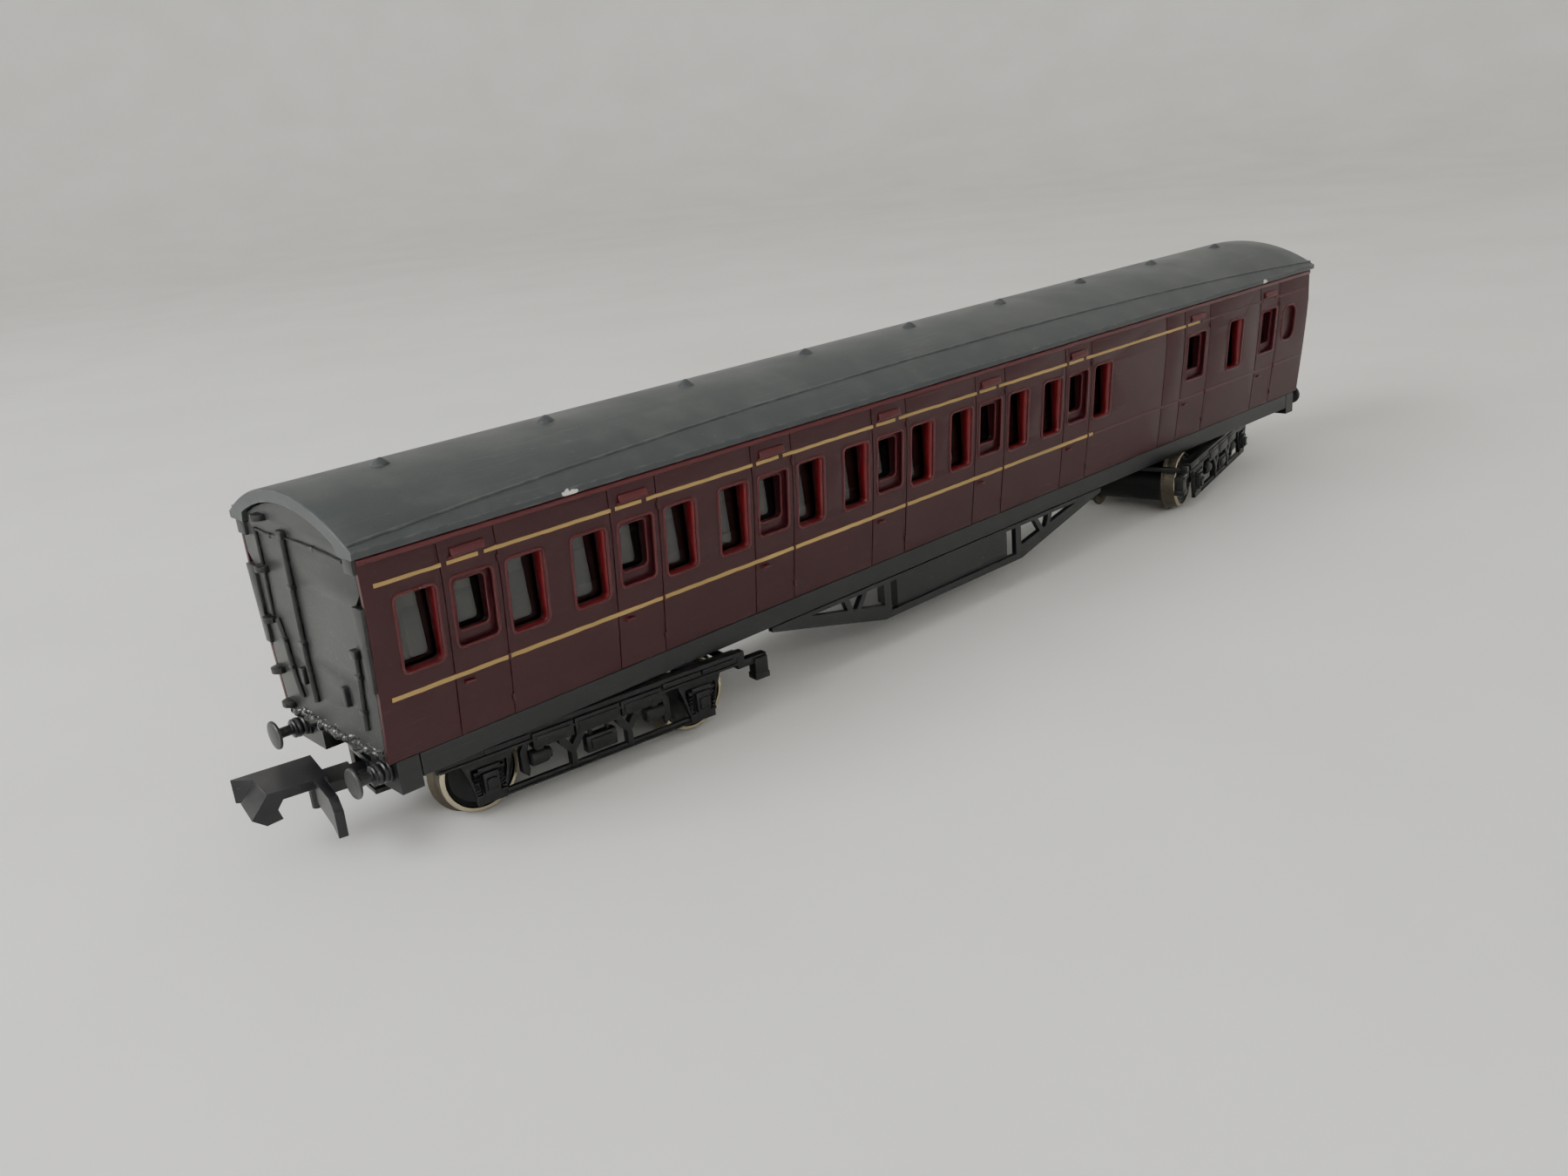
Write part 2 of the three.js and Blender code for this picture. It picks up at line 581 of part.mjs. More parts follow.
// The truss on the left side, with its queen posts, struts and battery box.
function leftTruss() {
  const y1 = SOLEBAR_Y;
  const y0 = y1 - TRUSS_THICKNESS;
  const top = SOLEBAR_BOTTOM_Z - FIT_GAP;
  const low = TRUSS_BOTTOM_Z;
  const bar = TRUSS_BAR;
  const post = TRUSS_POST;
  const pieces = [
    box(-TRUSS_HALF_LENGTH, TRUSS_HALF_LENGTH, y0, y1, top - bar * 0.6, top),
    box(-post, post, y0, y1, low, low + bar),
  ];
  const plate = (sign, points) => alongY(shapeOf(points.map(([x, z]) => [sign * x, z])), y0, y1);
  for (const sign of [-1, 1]) {
    pieces.push(
      plate(sign, [[post + 0.4, low], [TRUSS_HALF_LENGTH, top - bar * 0.6], [TRUSS_HALF_LENGTH, top],
        [TRUSS_HALF_LENGTH - 3, top - 0.1], [post, low + 1.2], [post - 0.4, low]]),
      plate(sign, [[post + 0.4, low], [post + 0.4, top], [post - 0.4, top], [post - 0.4, low]]),
      plate(sign, [[post + 4.5, low + 1.2], [post + 5.4, top], [post + 4.8, top], [post + 3.9, low + 1.2]]),
      plate(sign, [[post + 4.4, low + 1.2], [post + 2.8, top], [post + 2.2, top], [post + 3.8, low + 1.2]]),
    );
  }
  const face = y1 - 0.25;
  pieces.push(box(-BATTERY_HALF_LENGTH, BATTERY_HALF_LENGTH, face - BATTERY_DEPTH, face,
    low + bar * 0.8, top));
  pieces.push(box(-BATTERY_HALF_LENGTH + 1, BATTERY_HALF_LENGTH - 1, face - BATTERY_DEPTH + 0.3,
    SOLEBAR_Y - SOLEBAR_WIDTH - 0.3, top - 0.5, FLOOR_BOTTOM_Z - FIT_GAP));
  return joined(pieces).translate([TRUSS_X, 0, 0]);
}

function bufferBeam(sign) {
  const [x0, x1] = ordered(sign * BEAM_X, sign * BEAM_FACE_X);
  const cutaway = box(x0 - 1, x1 + 1, -COUPLER_CUTAWAY, COUPLER_CUTAWAY,
    BEAM_BOTTOM_Z - 1, FRAME_TOP_Z - COUPLER_HEADROOM);
  const sockets = [-1, 1].map((hand) => (
    rod(BUFFER_SHANK_RADIUS + 0.05, x0 - 1, x1 + 1, 12, 'x')
      .translate([0, (hand * BUFFER_SPACING) / 2, BUFFER_Z])));
  return cutBy(box(x0, x1, -SOLEBAR_Y, SOLEBAR_Y, BEAM_BOTTOM_Z, FRAME_TOP_Z), [cutaway, ...sockets]);
}

// A buffer: spigot, ribbed housing, shank and round head, standing out from X = 0.
function buffer() {
  const [r, s, head] = [BUFFER_HOUSING_RADIUS, BUFFER_SHANK_RADIUS, BUFFER_HEAD_RADIUS];
  const start = FIT_GAP;
  return turned([[0, 0.2 - BEAM_THICKNESS], [s, 0.2 - BEAM_THICKNESS], [s, start], [r, start],
    [r, start + 0.45], [r * 0.82, start + 0.55], [r, start + 0.7], [r, start + 1.1],
    [s, start + 1.25], [s, BUFFER_REACH - 0.5], [head, BUFFER_REACH - 0.3],
    [head, BUFFER_REACH - 0.1], [head * 0.85, BUFFER_REACH], [0, BUFFER_REACH]], 12, 'x');
}

// ---------------------------------------------------------------- bogies

// A bogie's left side frame, with its outer end towards -X and the pivot at X = 0.
function sideFrame() {
  const y0 = BOGIE_FRAME_Y;
  const y1 = BOGIE_FRAME_OUTER_Y;
  const half = BOGIE_HALF_LENGTH;
  const foot = BEAM_FOOT_Z;
  const axle = BOGIE_WHEELBASE / 2;
  const pieces = [
    box(-half, half, y0, y1, foot, BOGIE_TOP_Z),
    box(-half, half, y1 - 0.1, y1 + BOGIE_RELIEF, BOGIE_TOP_Z - 0.45, BOGIE_TOP_Z),
    box(-6.0, 6.0, y0, y1 + 0.1, foot - 0.7, foot + 0.1),
    box(-3.3, 3.3, y1 - 0.1, y1 + 0.2, foot - 0.6, foot + 0.5),
    box(-7.2, 7.2, y0 + 0.15, y1 - 0.1, 1.6, 2.05),
    box(-0.9, 1.3, y0 + 0.1, y1 + BOGIE_RELIEF, 2.0, 3.4),
    box(half + 0.3, half + 2.6, y0, y1, foot - 0.4, foot + 0.3),
    box(half - 0.1, half + 0.6, y0, y1, foot - 0.4, BOGIE_TOP_Z - 0.1),
    box(half + 1.3, half + 2.6, y0, y1 + BOGIE_RELIEF, 2.9, foot + 0.1),
  ];
  for (const sign of [-1, 1]) {
    const x = sign * axle;
    const outline = (points) => shapeOf(points.map(([away, z]) => [sign * away, z]));
    pieces.push(
      alongY(outline([[axle - 2.2, foot + 0.1], [axle - 1.6, 1.3], [axle + 1.6, 1.3],
        [axle + 2.0, foot + 0.1]]), y0, y1),
      box(x - 0.85, x + 0.85, y1 - 0.1, y1 + 0.55, 2.0, 3.7),
      box(x - 1.4, x + 1.4, y1 - 0.1, y1 + BOGIE_RELIEF, 3.6, 4.2),
      rod(0.34, 2.1, 3.8, 8, 'z').translate([x - 1.3, y1 + 0.05, 0]),
      rod(0.34, 2.1, 3.8, 8, 'z').translate([x + 1.3, y1 + 0.05, 0]),
      box(x - 0.85, x + 0.85, y0 - 0.5, y0 + 0.1, 2.1, 3.8),
      alongY(outline([[2.0, 1.6], [2.6, 1.6], [2.6, 2.9], [3.3, 4.1], [1.3, 4.1], [2.0, 2.9]]),
        y0 + 0.05, y1 + 0.1),
      box(sign * 4.0, sign * 5.5, y0 - 0.2, y1 - 0.15, 2.5, 3.8),
      box(sign * 4.4, sign * 5.0, y0, y1 - 0.1, 3.7, foot + 0.1),
    );
  }
  return joined(pieces);
}

// The coupler pocket at the bogie's outer end, open below and slotted in front.
function couplerPocket() {
  const wall = POCKET_WALL;
  const outer = POCKET_HALF_WIDTH + wall;
  const front = -POCKET_FRONT;
  const back = -POCKET_BACK;
  const slot = TAIL_NECK_HALF_WIDTH + 0.4;
  return [
    box(front, -BOGIE_HALF_LENGTH + 0.4, -outer, outer, POCKET_TOP_Z, POCKET_TOP_Z + 0.5),
    ...boxPair(front, back + 0.5, POCKET_HALF_WIDTH, outer, POCKET_BOTTOM_Z, POCKET_TOP_Z + 0.1),
    ...boxPair(front, front + wall, slot, outer, POCKET_BOTTOM_Z, POCKET_TOP_Z + 0.1),
    box(back, back + 0.5, -outer, outer, POCKET_BOTTOM_Z, POCKET_TOP_Z + 0.1),
  ];
}

function bogieFrame() {
  const left = sideFrame();
  const y = BOGIE_FRAME_Y + 0.1;
  const half = BOGIE_HALF_LENGTH;
  const body = joined([
    left,
    left.mirror([0, 1, 0]),
    box(-BOLSTER_HALF_LENGTH, BOLSTER_HALF_LENGTH, -y, y, BEAM_FOOT_Z, BOGIE_TOP_Z),
    box(-half, -half + 0.5, -y, y, BEAM_FOOT_Z, POCKET_TOP_Z + 0.5),
    box(half - 0.5, half, -y, y, BEAM_FOOT_Z, POCKET_TOP_Z + 0.5),
    ...couplerPocket(),
  ]);
  const cone = AXLE_HALF_LENGTH - AXLE_CONE;
  const hole = AXLE_RADIUS + BEARING_GAP;
  const well = [[0, -AXLE_HALF_LENGTH - 0.12], [hole, -cone - 0.1], [hole, cone + 0.1],
    [0, AXLE_HALF_LENGTH + 0.12]];
  const wells = [-1, 1].map((sign) => (
    turned(well, 12, 'y').translate([(sign * BOGIE_WHEELBASE) / 2, 0, WHEEL_RADIUS])));
  return cutBy(body, [rod(PIVOT_RADIUS + BEARING_GAP, 3, 7, 14, 'z'), ...wells]);
}

// The rivet that holds a bogie: its head lies under the bolster, its shank in the floor.
function pivotRivet() {
  const under = BEAM_FOOT_Z - 0.1;
  const over = FLOOR_TOP_Z + FIT_GAP;
  const [r, head] = [PIVOT_RADIUS, PIVOT_HEAD_RADIUS];
  return turned([[0, under - 0.7], [head * 0.6, under - 0.65], [head, under - 0.3], [head, under],
    [r, under], [r, over], [r * 1.5, over], [r * 1.3, over + 0.35], [0, over + 0.4]], 14, 'z');
}

// A moulded axle: the drum between its two wheel centres, and a point at each end.
function axleCore() {
  const [a, b] = [WHEEL_INNER_Y, WHEEL_OUTER_Y];
  const half = [[DRUM_RADIUS, a - 0.15], [WHEEL_SEAT_RADIUS, a], [WHEEL_SEAT_RADIUS, b - 0.05],
    [WHEEL_SEAT_RADIUS - 0.3, b - 0.3], [0.9, b - 0.3], [0.8, b + 0.1], [AXLE_RADIUS, b + 0.1],
    [AXLE_RADIUS, AXLE_HALF_LENGTH - AXLE_CONE], [0, AXLE_HALF_LENGTH]];
  const otherHalf = half.map(([r, y]) => [r, -y]).reverse();
  return turned([...otherHalf, ...half], 16, 'y');
}

// The metal tyre of a left-hand wheel, with its flange towards the coach's middle.
function leftTyre() {
  const inner = WHEEL_RADIUS - TYRE_THICKNESS;
  const [a, b] = [WHEEL_INNER_Y, WHEEL_OUTER_Y];
  return turned([[inner, a], [FLANGE_RADIUS, a], [FLANGE_RADIUS, a + 0.18],
    [WHEEL_RADIUS + 0.04, a + 0.45], [WHEEL_RADIUS, b], [inner, b], [inner, a]], 16, 'y');
}

// ---------------------------------------------------------------- couplers

// A hook coupler that points towards -X from its pivot at the origin. Its outlines
// are given as distances forward of the head's front corner, and across from it.
const COUPLER_ORIGIN_Y = -COUPLER_HEAD_WIDTH + COUPLER_ARM_WIDTH / 2 + COUPLER_SKIN;
const forward = (distance) => -COUPLER_REACH - distance;
const across = (distance) => COUPLER_ORIGIN_Y + distance;
const plan = (points) => shapeOf(points.map(([u, v]) => [forward(u), across(v)]));

function couplerHead() {
  const top = COUPLER_TOP_Z;
  const width = COUPLER_HEAD_WIDTH;
  const skirt = width - 1;
  const back = -COUPLER_HEAD_LENGTH;
  const lip = plan([[0.1, skirt - 0.2], [0.2, skirt], [1.45, width], [1.15, width],
    [0, skirt + 0.05], [0, skirt - 0.2]]);
  const plate = plan([[0, 0], [0.2, skirt], [1.45, width], [back, width], [back, 0]]);
  const hook = shapeOf([[0, top], [1.28, top - 1.5], [0.4, top - 2.2], [-0.7, top - 2.05],
    [-0.5, top - 1.3], [-1.1, top - 0.5], [-1.1, top]].map(([u, z]) => [forward(u), z]));
  return [
    alongZ(plate, top - COUPLER_SKIN, top),
    alongZ(lip, top - 1.8, top),
    alongY(hook, across(0), across(skirt)),
  ];
}

// The plate across the arm, deeper and pointed at its free end.
function couplerCrossPlate() {
  const top = COUPLER_TOP_Z;
  const outline = shapeOf([[COUPLER_HEAD_WIDTH, top], [-3.6, top], [-4.4, top - 0.8],
    [-4.2, top - 2.7], [-3.2, top - 2.2], [COUPLER_HEAD_WIDTH, top - 1.6]]
    .map(([v, z]) => [across(v), z]));
  const x = forward(-COUPLER_PLATE_BACK);
  const peg = rod(0.36, top - 2.4, top - 0.5, 8, 'z');
  return [alongX(outline, x, x + COUPLER_PLATE_THICKNESS), peg.translate([x + 0.05, across(0.9), 0])];
}

function coupler() {
  const arm = COUPLER_ARM_WIDTH / 2;
  const neck = TAIL_NECK_HALF_WIDTH;
  const [z0, z1] = [COUPLER_ARM_BOTTOM_Z, COUPLER_ARM_TOP_Z];
  const shoulder = -(POCKET_FRONT - COUPLER_PIVOT) - 0.5;
  const armFront = forward(-COUPLER_PLATE_BACK) + 0.1;
  return joined([
    ...couplerHead(),
    ...couplerCrossPlate(),
    box(armFront, shoulder, -arm, arm, z0, z1),
    box(armFront, armFront + COUPLER_PLATE_THICKNESS, -arm, arm, z0, COUPLER_TOP_Z - 0.2),
    box(shoulder - 0.1, 0, -neck, neck, z0, z1),
    box(-TAIL_THICKNESS / 2, TAIL_THICKNESS / 2, -TAIL_HALF_WIDTH, TAIL_HALF_WIDTH, z0, z1),
  ]);
}

// The coil spring between the coupler's tail and the back of its pocket.
class Coil extends THREE.Curve {
  constructor(radius, length, turns) {
    super();
    Object.assign(this, { radius, length, turns });
  }

  getPoint(t, target = new THREE.Vector3()) {
    const angle = 2 * Math.PI * this.turns * t;
    return target.set(this.length * t, this.radius * Math.cos(angle), this.radius * Math.sin(angle));
  }
}

function couplerSpring() {
  const wireRadius = 0.09;
  const start = TAIL_THICKNESS / 2 + 0.25 + wireRadius;
  const end = COUPLER_PIVOT - POCKET_BACK - 0.1 - wireRadius;
  const height = (COUPLER_ARM_TOP_Z + COUPLER_ARM_BOTTOM_Z) / 2;
  return wire(new Coil(0.42, end - start, 2.5), wireRadius, 24, 4).translate([start, 0, height]);
}

// The keeper plate that closes the pocket from below.
function couplerKeeper() {
  const outer = POCKET_HALF_WIDTH + POCKET_WALL;
  const top = POCKET_BOTTOM_Z - FIT_GAP;
  return box(-POCKET_FRONT, -POCKET_BACK + 0.5, -outer, outer, top - 0.4, top);
}

// ---------------------------------------------------------------- assembly

const coach = new THREE.Group();

function place(parent, name, solid, material) {
  const mesh = new THREE.Mesh(toGeometry(solid), material);
  mesh.name = name;
  parent.add(mesh);
  return mesh;
}

function group(parent, x, z, angle) {
  const made = new THREE.Group();
  made.position.set(x, 0, z);
  made.rotation.z = THREE.MathUtils.degToRad(angle);
  parent.add(made);
  return made;
}

const rightSideSolid = rightSide();
const rightGlazingSolid = rightGlazing();
const leftTrussSolid = leftTruss();
place(coach, 'roof', roof(), ROOF_GREY);
place(coach, 'right_side', rightSideSolid, MAROON);
place(coach, 'left_side', rightSideSolid.mirror([0, 1, 0]), MAROON);
place(coach, 'compartment_end', endPanel(-1, compartmentEndDetails()), END_GREY);
place(coach, 'luggage_end', endPanel(1, luggageEndDetails()), END_GREY);
place(coach, 'right_glazing', rightGlazingSolid, CLEAR);
place(coach, 'left_glazing', rightGlazingSolid.mirror([0, 1, 0]), CLEAR);
place(coach, 'ballast_weight', ballast(), STEEL);
place(coach, 'underframe', underframe(), CHASSIS_BLACK);
place(coach, 'left_truss', leftTrussSolid, CHASSIS_BLACK);
place(coach, 'right_truss', leftTrussSolid.mirror([0, 1, 0]), CHASSIS_BLACK);

const ENDS = [
  { name: 'near', sign: -1, yaw: NEAR_BOGIE_YAW },
  { name: 'far', sign: 1, yaw: 180 + FAR_BOGIE_YAW },
];

for (const { name, sign, yaw } of ENDS) {
  place(coach, `${name}_buffer_beam`, bufferBeam(sign), CHASSIS_BLACK);
  for (const [label, hand] of [['left', 1], ['right', -1]]) {
    const piece = place(coach, `${name}_${label}_buffer`, buffer(), CHASSIS_BLACK);
    piece.rotation.z = sign < 0 ? Math.PI : 0;
    piece.position.set(sign * BEAM_FACE_X, (hand * BUFFER_SPACING) / 2, BUFFER_Z);
  }
  place(coach, `${name}_bogie_rivet`, pivotRivet(), STEEL).position.x = sign * BOGIE_PIVOT_X;

  const bogie = group(coach, sign * BOGIE_PIVOT_X, 0, yaw);
  place(bogie, `${name}_bogie_frame`, bogieFrame(), BOGIE_BLACK);
  for (const [axle, side] of [['outer', -1], ['inner', 1]]) {
    const wheelset = group(bogie, (side * BOGIE_WHEELBASE) / 2, WHEEL_RADIUS, 0);
    place(wheelset, `${name}_${axle}_axle`, axleCore(), BOGIE_BLACK);
    place(wheelset, `${name}_${axle}_left_tyre`, leftTyre(), NICKEL);
    place(wheelset, `${name}_${axle}_right_tyre`, leftTyre().mirror([0, 1, 0]), NICKEL);
  }
  place(bogie, `${name}_coupler_keeper`, couplerKeeper(), BOGIE_BLACK);
  const mounting = group(bogie, -COUPLER_PIVOT, 0, 0);
  place(mounting, `${name}_coupler_spring`, couplerSpring(), STEEL);
  place(group(mounting, 0, 0, COUPLER_YAW), `${name}_coupler`, coupler(), COUPLER_BLACK);
}

export default coach;
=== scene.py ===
"""A two-bogie suburban brake coach in small scale, with its finishes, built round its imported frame."""

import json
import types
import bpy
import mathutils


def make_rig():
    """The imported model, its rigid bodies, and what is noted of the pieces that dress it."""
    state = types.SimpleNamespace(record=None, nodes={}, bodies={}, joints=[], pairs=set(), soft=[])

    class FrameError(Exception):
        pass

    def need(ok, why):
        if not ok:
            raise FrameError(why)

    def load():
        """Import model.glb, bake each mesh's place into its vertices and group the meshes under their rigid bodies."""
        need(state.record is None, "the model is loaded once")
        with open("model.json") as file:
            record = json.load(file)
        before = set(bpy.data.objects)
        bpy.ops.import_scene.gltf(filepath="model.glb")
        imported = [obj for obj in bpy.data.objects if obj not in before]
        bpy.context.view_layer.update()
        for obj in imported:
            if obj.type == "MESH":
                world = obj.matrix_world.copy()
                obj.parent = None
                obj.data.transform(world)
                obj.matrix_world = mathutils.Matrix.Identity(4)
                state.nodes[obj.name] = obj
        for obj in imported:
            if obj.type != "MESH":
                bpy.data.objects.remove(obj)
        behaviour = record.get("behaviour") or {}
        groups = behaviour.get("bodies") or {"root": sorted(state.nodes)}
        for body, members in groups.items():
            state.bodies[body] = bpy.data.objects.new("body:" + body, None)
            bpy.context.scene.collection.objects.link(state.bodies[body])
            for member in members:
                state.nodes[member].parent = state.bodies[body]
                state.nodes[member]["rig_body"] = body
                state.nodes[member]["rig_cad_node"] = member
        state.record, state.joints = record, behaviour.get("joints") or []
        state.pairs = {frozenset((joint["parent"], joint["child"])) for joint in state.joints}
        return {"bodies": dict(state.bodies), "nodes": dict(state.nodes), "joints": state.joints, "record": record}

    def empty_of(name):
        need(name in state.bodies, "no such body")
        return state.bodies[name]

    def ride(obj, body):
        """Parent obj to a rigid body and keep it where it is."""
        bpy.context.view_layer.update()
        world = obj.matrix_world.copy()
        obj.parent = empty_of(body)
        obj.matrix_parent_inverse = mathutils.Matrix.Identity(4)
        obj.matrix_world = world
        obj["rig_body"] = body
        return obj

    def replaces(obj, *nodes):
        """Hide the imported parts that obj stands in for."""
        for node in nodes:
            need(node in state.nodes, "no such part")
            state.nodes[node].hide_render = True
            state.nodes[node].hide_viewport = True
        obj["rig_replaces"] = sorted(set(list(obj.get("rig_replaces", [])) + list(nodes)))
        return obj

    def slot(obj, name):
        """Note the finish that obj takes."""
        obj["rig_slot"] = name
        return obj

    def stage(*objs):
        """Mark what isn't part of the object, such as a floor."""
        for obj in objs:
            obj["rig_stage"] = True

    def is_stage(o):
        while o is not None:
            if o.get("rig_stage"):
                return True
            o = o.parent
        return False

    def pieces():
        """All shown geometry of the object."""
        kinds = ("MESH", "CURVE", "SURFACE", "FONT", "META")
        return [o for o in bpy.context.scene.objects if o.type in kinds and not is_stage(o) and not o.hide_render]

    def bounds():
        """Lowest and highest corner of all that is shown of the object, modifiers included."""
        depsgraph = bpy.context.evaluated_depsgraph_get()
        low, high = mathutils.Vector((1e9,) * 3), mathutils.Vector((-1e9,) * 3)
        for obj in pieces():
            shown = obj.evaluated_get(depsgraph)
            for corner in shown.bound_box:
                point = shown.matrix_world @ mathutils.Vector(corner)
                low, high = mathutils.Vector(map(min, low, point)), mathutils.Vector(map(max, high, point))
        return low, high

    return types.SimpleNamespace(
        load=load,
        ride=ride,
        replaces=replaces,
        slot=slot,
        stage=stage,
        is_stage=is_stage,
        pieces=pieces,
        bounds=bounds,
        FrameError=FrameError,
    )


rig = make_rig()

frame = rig.load()
cad_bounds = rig.bounds()

import json
import math

import bmesh
import bpy
from mathutils import Matrix, Vector, noise

MM = 0.001
nodes = frame["nodes"]


def linked(name, data):
    """A new object in the scene."""
    made = bpy.data.objects.new(name, data)
    bpy.context.scene.collection.objects.link(made)
    return made



# ---------------------------------------------------------------- sizes, in millimetres

HALF_LENGTH = 58.7
HALF_WIDTH = 8.6
FOOT_Z = 7.7
WAIST_Z = 12.0
SIDE_TOP_Z = 21.57
EAVES_Z = 21.65
CURVE_TOP_Z = 18.7
CURVE_HEIGHT = 11.0
CURVE_INSET = 1.15
WALL_INNER_Y = 7.2
FOOT_INNER_Y = 6.85
ROOF_HALF_WIDTH = 8.95
ROOF_HALF_LENGTH = 59.05
ROOF_RISE = 2.6
ROOF_EDGE = 0.5
ROOF_THICKNESS = 0.9
ROOF_RADIUS = (ROOF_HALF_WIDTH ** 2 + ROOF_RISE ** 2) / (2 * ROOF_RISE)
ROOF_CREST_Z = EAVES_Z + ROOF_EDGE + ROOF_RISE
ROOF_CENTRE_Z = ROOF_CREST_Z - ROOF_RADIUS
PITCH = 13.1
FIRST_DOOR_X = -51.36
COMPARTMENT_DOORS = [FIRST_DOOR_X + PITCH * i for i in range(6)]
WINDOWS = [x + s for x in COMPARTMENT_DOORS for s in (-4.0, 4.0)] + [42.8]
WINDOW = (2.8, 13.5, 18.63, 0.4)  # width, bottom, top and corner
BLIND = (54.35, 2.8, 14.5, 18.33)  # middle, width, bottom and top
DOOR_WIDTH = 4.1
VAN_DOOR = (34.95, 4.9)
GUARD_DOOR = (49.8, DOOR_WIDTH)
DOORS = [(x, DOOR_WIDTH) for x in COMPARTMENT_DOORS] + [VAN_DOOR, GUARD_DOOR]
HINGE_OFFSET = 2.05
VAN_SEAM_X = 29.1
END_THICKNESS = 1.15
END_SKIN = 0.35
LUGS = [(12.75, 18.45), (20.6, SIDE_TOP_Z)]
BUFFER_Y = 5.9
BUFFER_Z = 6.7
BEAM_FACE_X = 58.18
PIVOT_X = 41.7
HALF_WHEELBASE = 8.75
AXLE_Z = 2.95
BOGIE_YAW = {"near": -6.5, "far": 194.5}
END_SIGN = {"near": -1, "far": 1}


def skin_y(z, inset=0.0):
    """Half width of the outer skin at height z."""
    drop = max(0.0, CURVE_TOP_Z - z) / CURVE_HEIGHT
    return HALF_WIDTH - CURVE_INSET * drop ** 1.25 - inset


def wall_inner_y(z):
    return FOOT_INNER_Y + (WALL_INNER_Y - FOOT_INNER_Y) * min(1, max(0, (z - 9.8) / 1.2))


def roof_z(y, below=0.0):
    return ROOF_CENTRE_Z + math.sqrt((ROOF_RADIUS - below) ** 2 - y * y)


# ---------------------------------------------------------------- shapes


class Shape:
    """Points in millimetres and the faces between them, with a finish number for each face."""

    def __init__(self):
        self.points, self.faces, self.finishes = [], [], []

    def add(self, points, faces, finish=0):
        start = len(self.points)
        self.points += [Vector(p) for p in points]
        self.faces += [tuple(start + i for i in face) for face in faces]
        self.finishes += [finish] * len(faces)
        return self

    def take(self, other, finish=None):
        start = len(self.points)
        self.points += [p.copy() for p in other.points]
        self.faces += [tuple(start + i for i in face) for face in other.faces]
        self.finishes += other.finishes if finish is None else [finish] * len(other.faces)
        return self

    def moved(self, change):
        """Every point through a function or a matrix."""
        act = change if callable(change) else lambda p: change @ p
        self.points = [Vector(act(p)) for p in self.points]
        return self

    def mirrored_y(self):
        twin = Shape()
        twin.points = [Vector((p.x, -p.y, p.z)) for p in self.points]
        twin.faces = [tuple(reversed(face)) for face in self.faces]
        twin.finishes = list(self.finishes)
        return twin

    def mesh(self, name, merge=1e-4):
        made = bmesh.new()
        vertices = [made.verts.new(p * MM) for p in self.points]
        for face, finish in zip(self.faces, self.finishes):
            if len(set(face)) < 3:
                continue
            try:
                made.faces.new([vertices[i] for i in face]).material_index = finish
            except ValueError:
                pass
        bmesh.ops.remove_doubles(made, verts=made.verts, dist=merge * MM)
        bmesh.ops.dissolve_degenerate(made, edges=made.edges, dist=merge * MM)
        data = bpy.data.meshes.new(name)
        made.to_mesh(data)
        made.free()
        return data


def rings(loops, closed=True, capped=True):
    """A skin over a row of loops that all have the same number of points."""
    count = len(loops[0])
    points = [p for loop in loops for p in loop]
    faces = []
    for k in range(len(loops) - 1):
        for i in range(count if closed else count - 1):
            j = (i + 1) % count
            faces.append((k * count + i, k * count + j, (k + 1) * count + j, (k + 1) * count + i))
    if capped:
        faces.append(tuple(reversed(range(count))))
        faces.append(tuple(range((len(loops) - 1) * count, len(loops) * count)))
    return Shape().add(points, faces)


def outward(shape):
    """The shape with its faces recalculated to point outwards."""
    made = bmesh.new()
    vertices = [made.verts.new(p) for p in shape.points]
    layer = made.faces.layers.int.new("finish")
    for face, finish in zip(shape.faces, shape.finishes):
        if len(set(face)) == len(face):
            try:
                made.faces.new([vertices[i] for i in face])[layer] = finish
            except ValueError:
                pass
    bmesh.ops.remove_doubles(made, verts=made.verts, dist=1e-5)
    bmesh.ops.recalc_face_normals(made, faces=made.faces)
    return read_back(made, layer)


def read_back(made, layer=None):
    made.verts.index_update()
    result = Shape()
    result.points = [v.co.copy() for v in made.verts]
    for face in made.faces:
        result.faces.append(tuple(v.index for v in face.verts))
        result.finishes.append(face[layer] if layer else 0)
    made.free()
    return result


def turned(profile, axis="z", middle=(0, 0, 0), count=48):
    """A turned piece from (radius, distance) points along an axis."""
    loops = []
    for radius, distance in profile:
        loop = []
        for i in range(count):
            angle = 2 * math.pi * i / count
            a, b = max(radius, 1e-4) * math.cos(angle), max(radius, 1e-4) * math.sin(angle)
            loop.append({"x": (distance, a, b), "y": (b, distance, a), "z": (a, b, distance)}[axis])
        loops.append(loop)
    return outward(rings(loops)).moved(lambda p: p + Vector(middle))


def rounded_block(low, high, edge=0.08, steps=2):
    """A block with rounded edges."""
    low, high = Vector(low), Vector(high)
    low, high = Vector(map(min, low, high)), Vector(map(max, low, high))
    made = bmesh.new()
    bmesh.ops.create_cube(made, size=1)
    size, middle = high - low, (high + low) / 2
    for v in made.verts:
        v.co = Vector((v.co.x * size.x, v.co.y * size.y, v.co.z * size.z)) + middle
    edge = min(edge, min(size) * 0.45)
    bmesh.ops.bevel(made, geom=made.edges[:] + made.verts[:], offset=edge, segments=steps,
                    profile=0.5, affect="EDGES", clamp_overlap=True)
    return read_back(made)


def smooth_path(points, steps=8, loop=False):
    """A smooth line through the points."""
    points = [Vector(p) for p in points]
    count = len(points)
    spans = count if loop else count - 1
    line = []
    for k in range(spans):
        def at(i):
            return points[i % count] if loop else points[min(max(i, 0), count - 1)]
        a, b, c, d = at(k - 1), at(k), at(k + 1), at(k + 2)
        for i in range(steps):
            t = i / steps
            line.append(0.5 * (2 * b + (c - a) * t + (2 * a - 5 * b + 4 * c - d) * t * t
                               + (3 * b - a - 3 * c + d) * t ** 3))
    if not loop:
        line.append(points[-1])
    return line


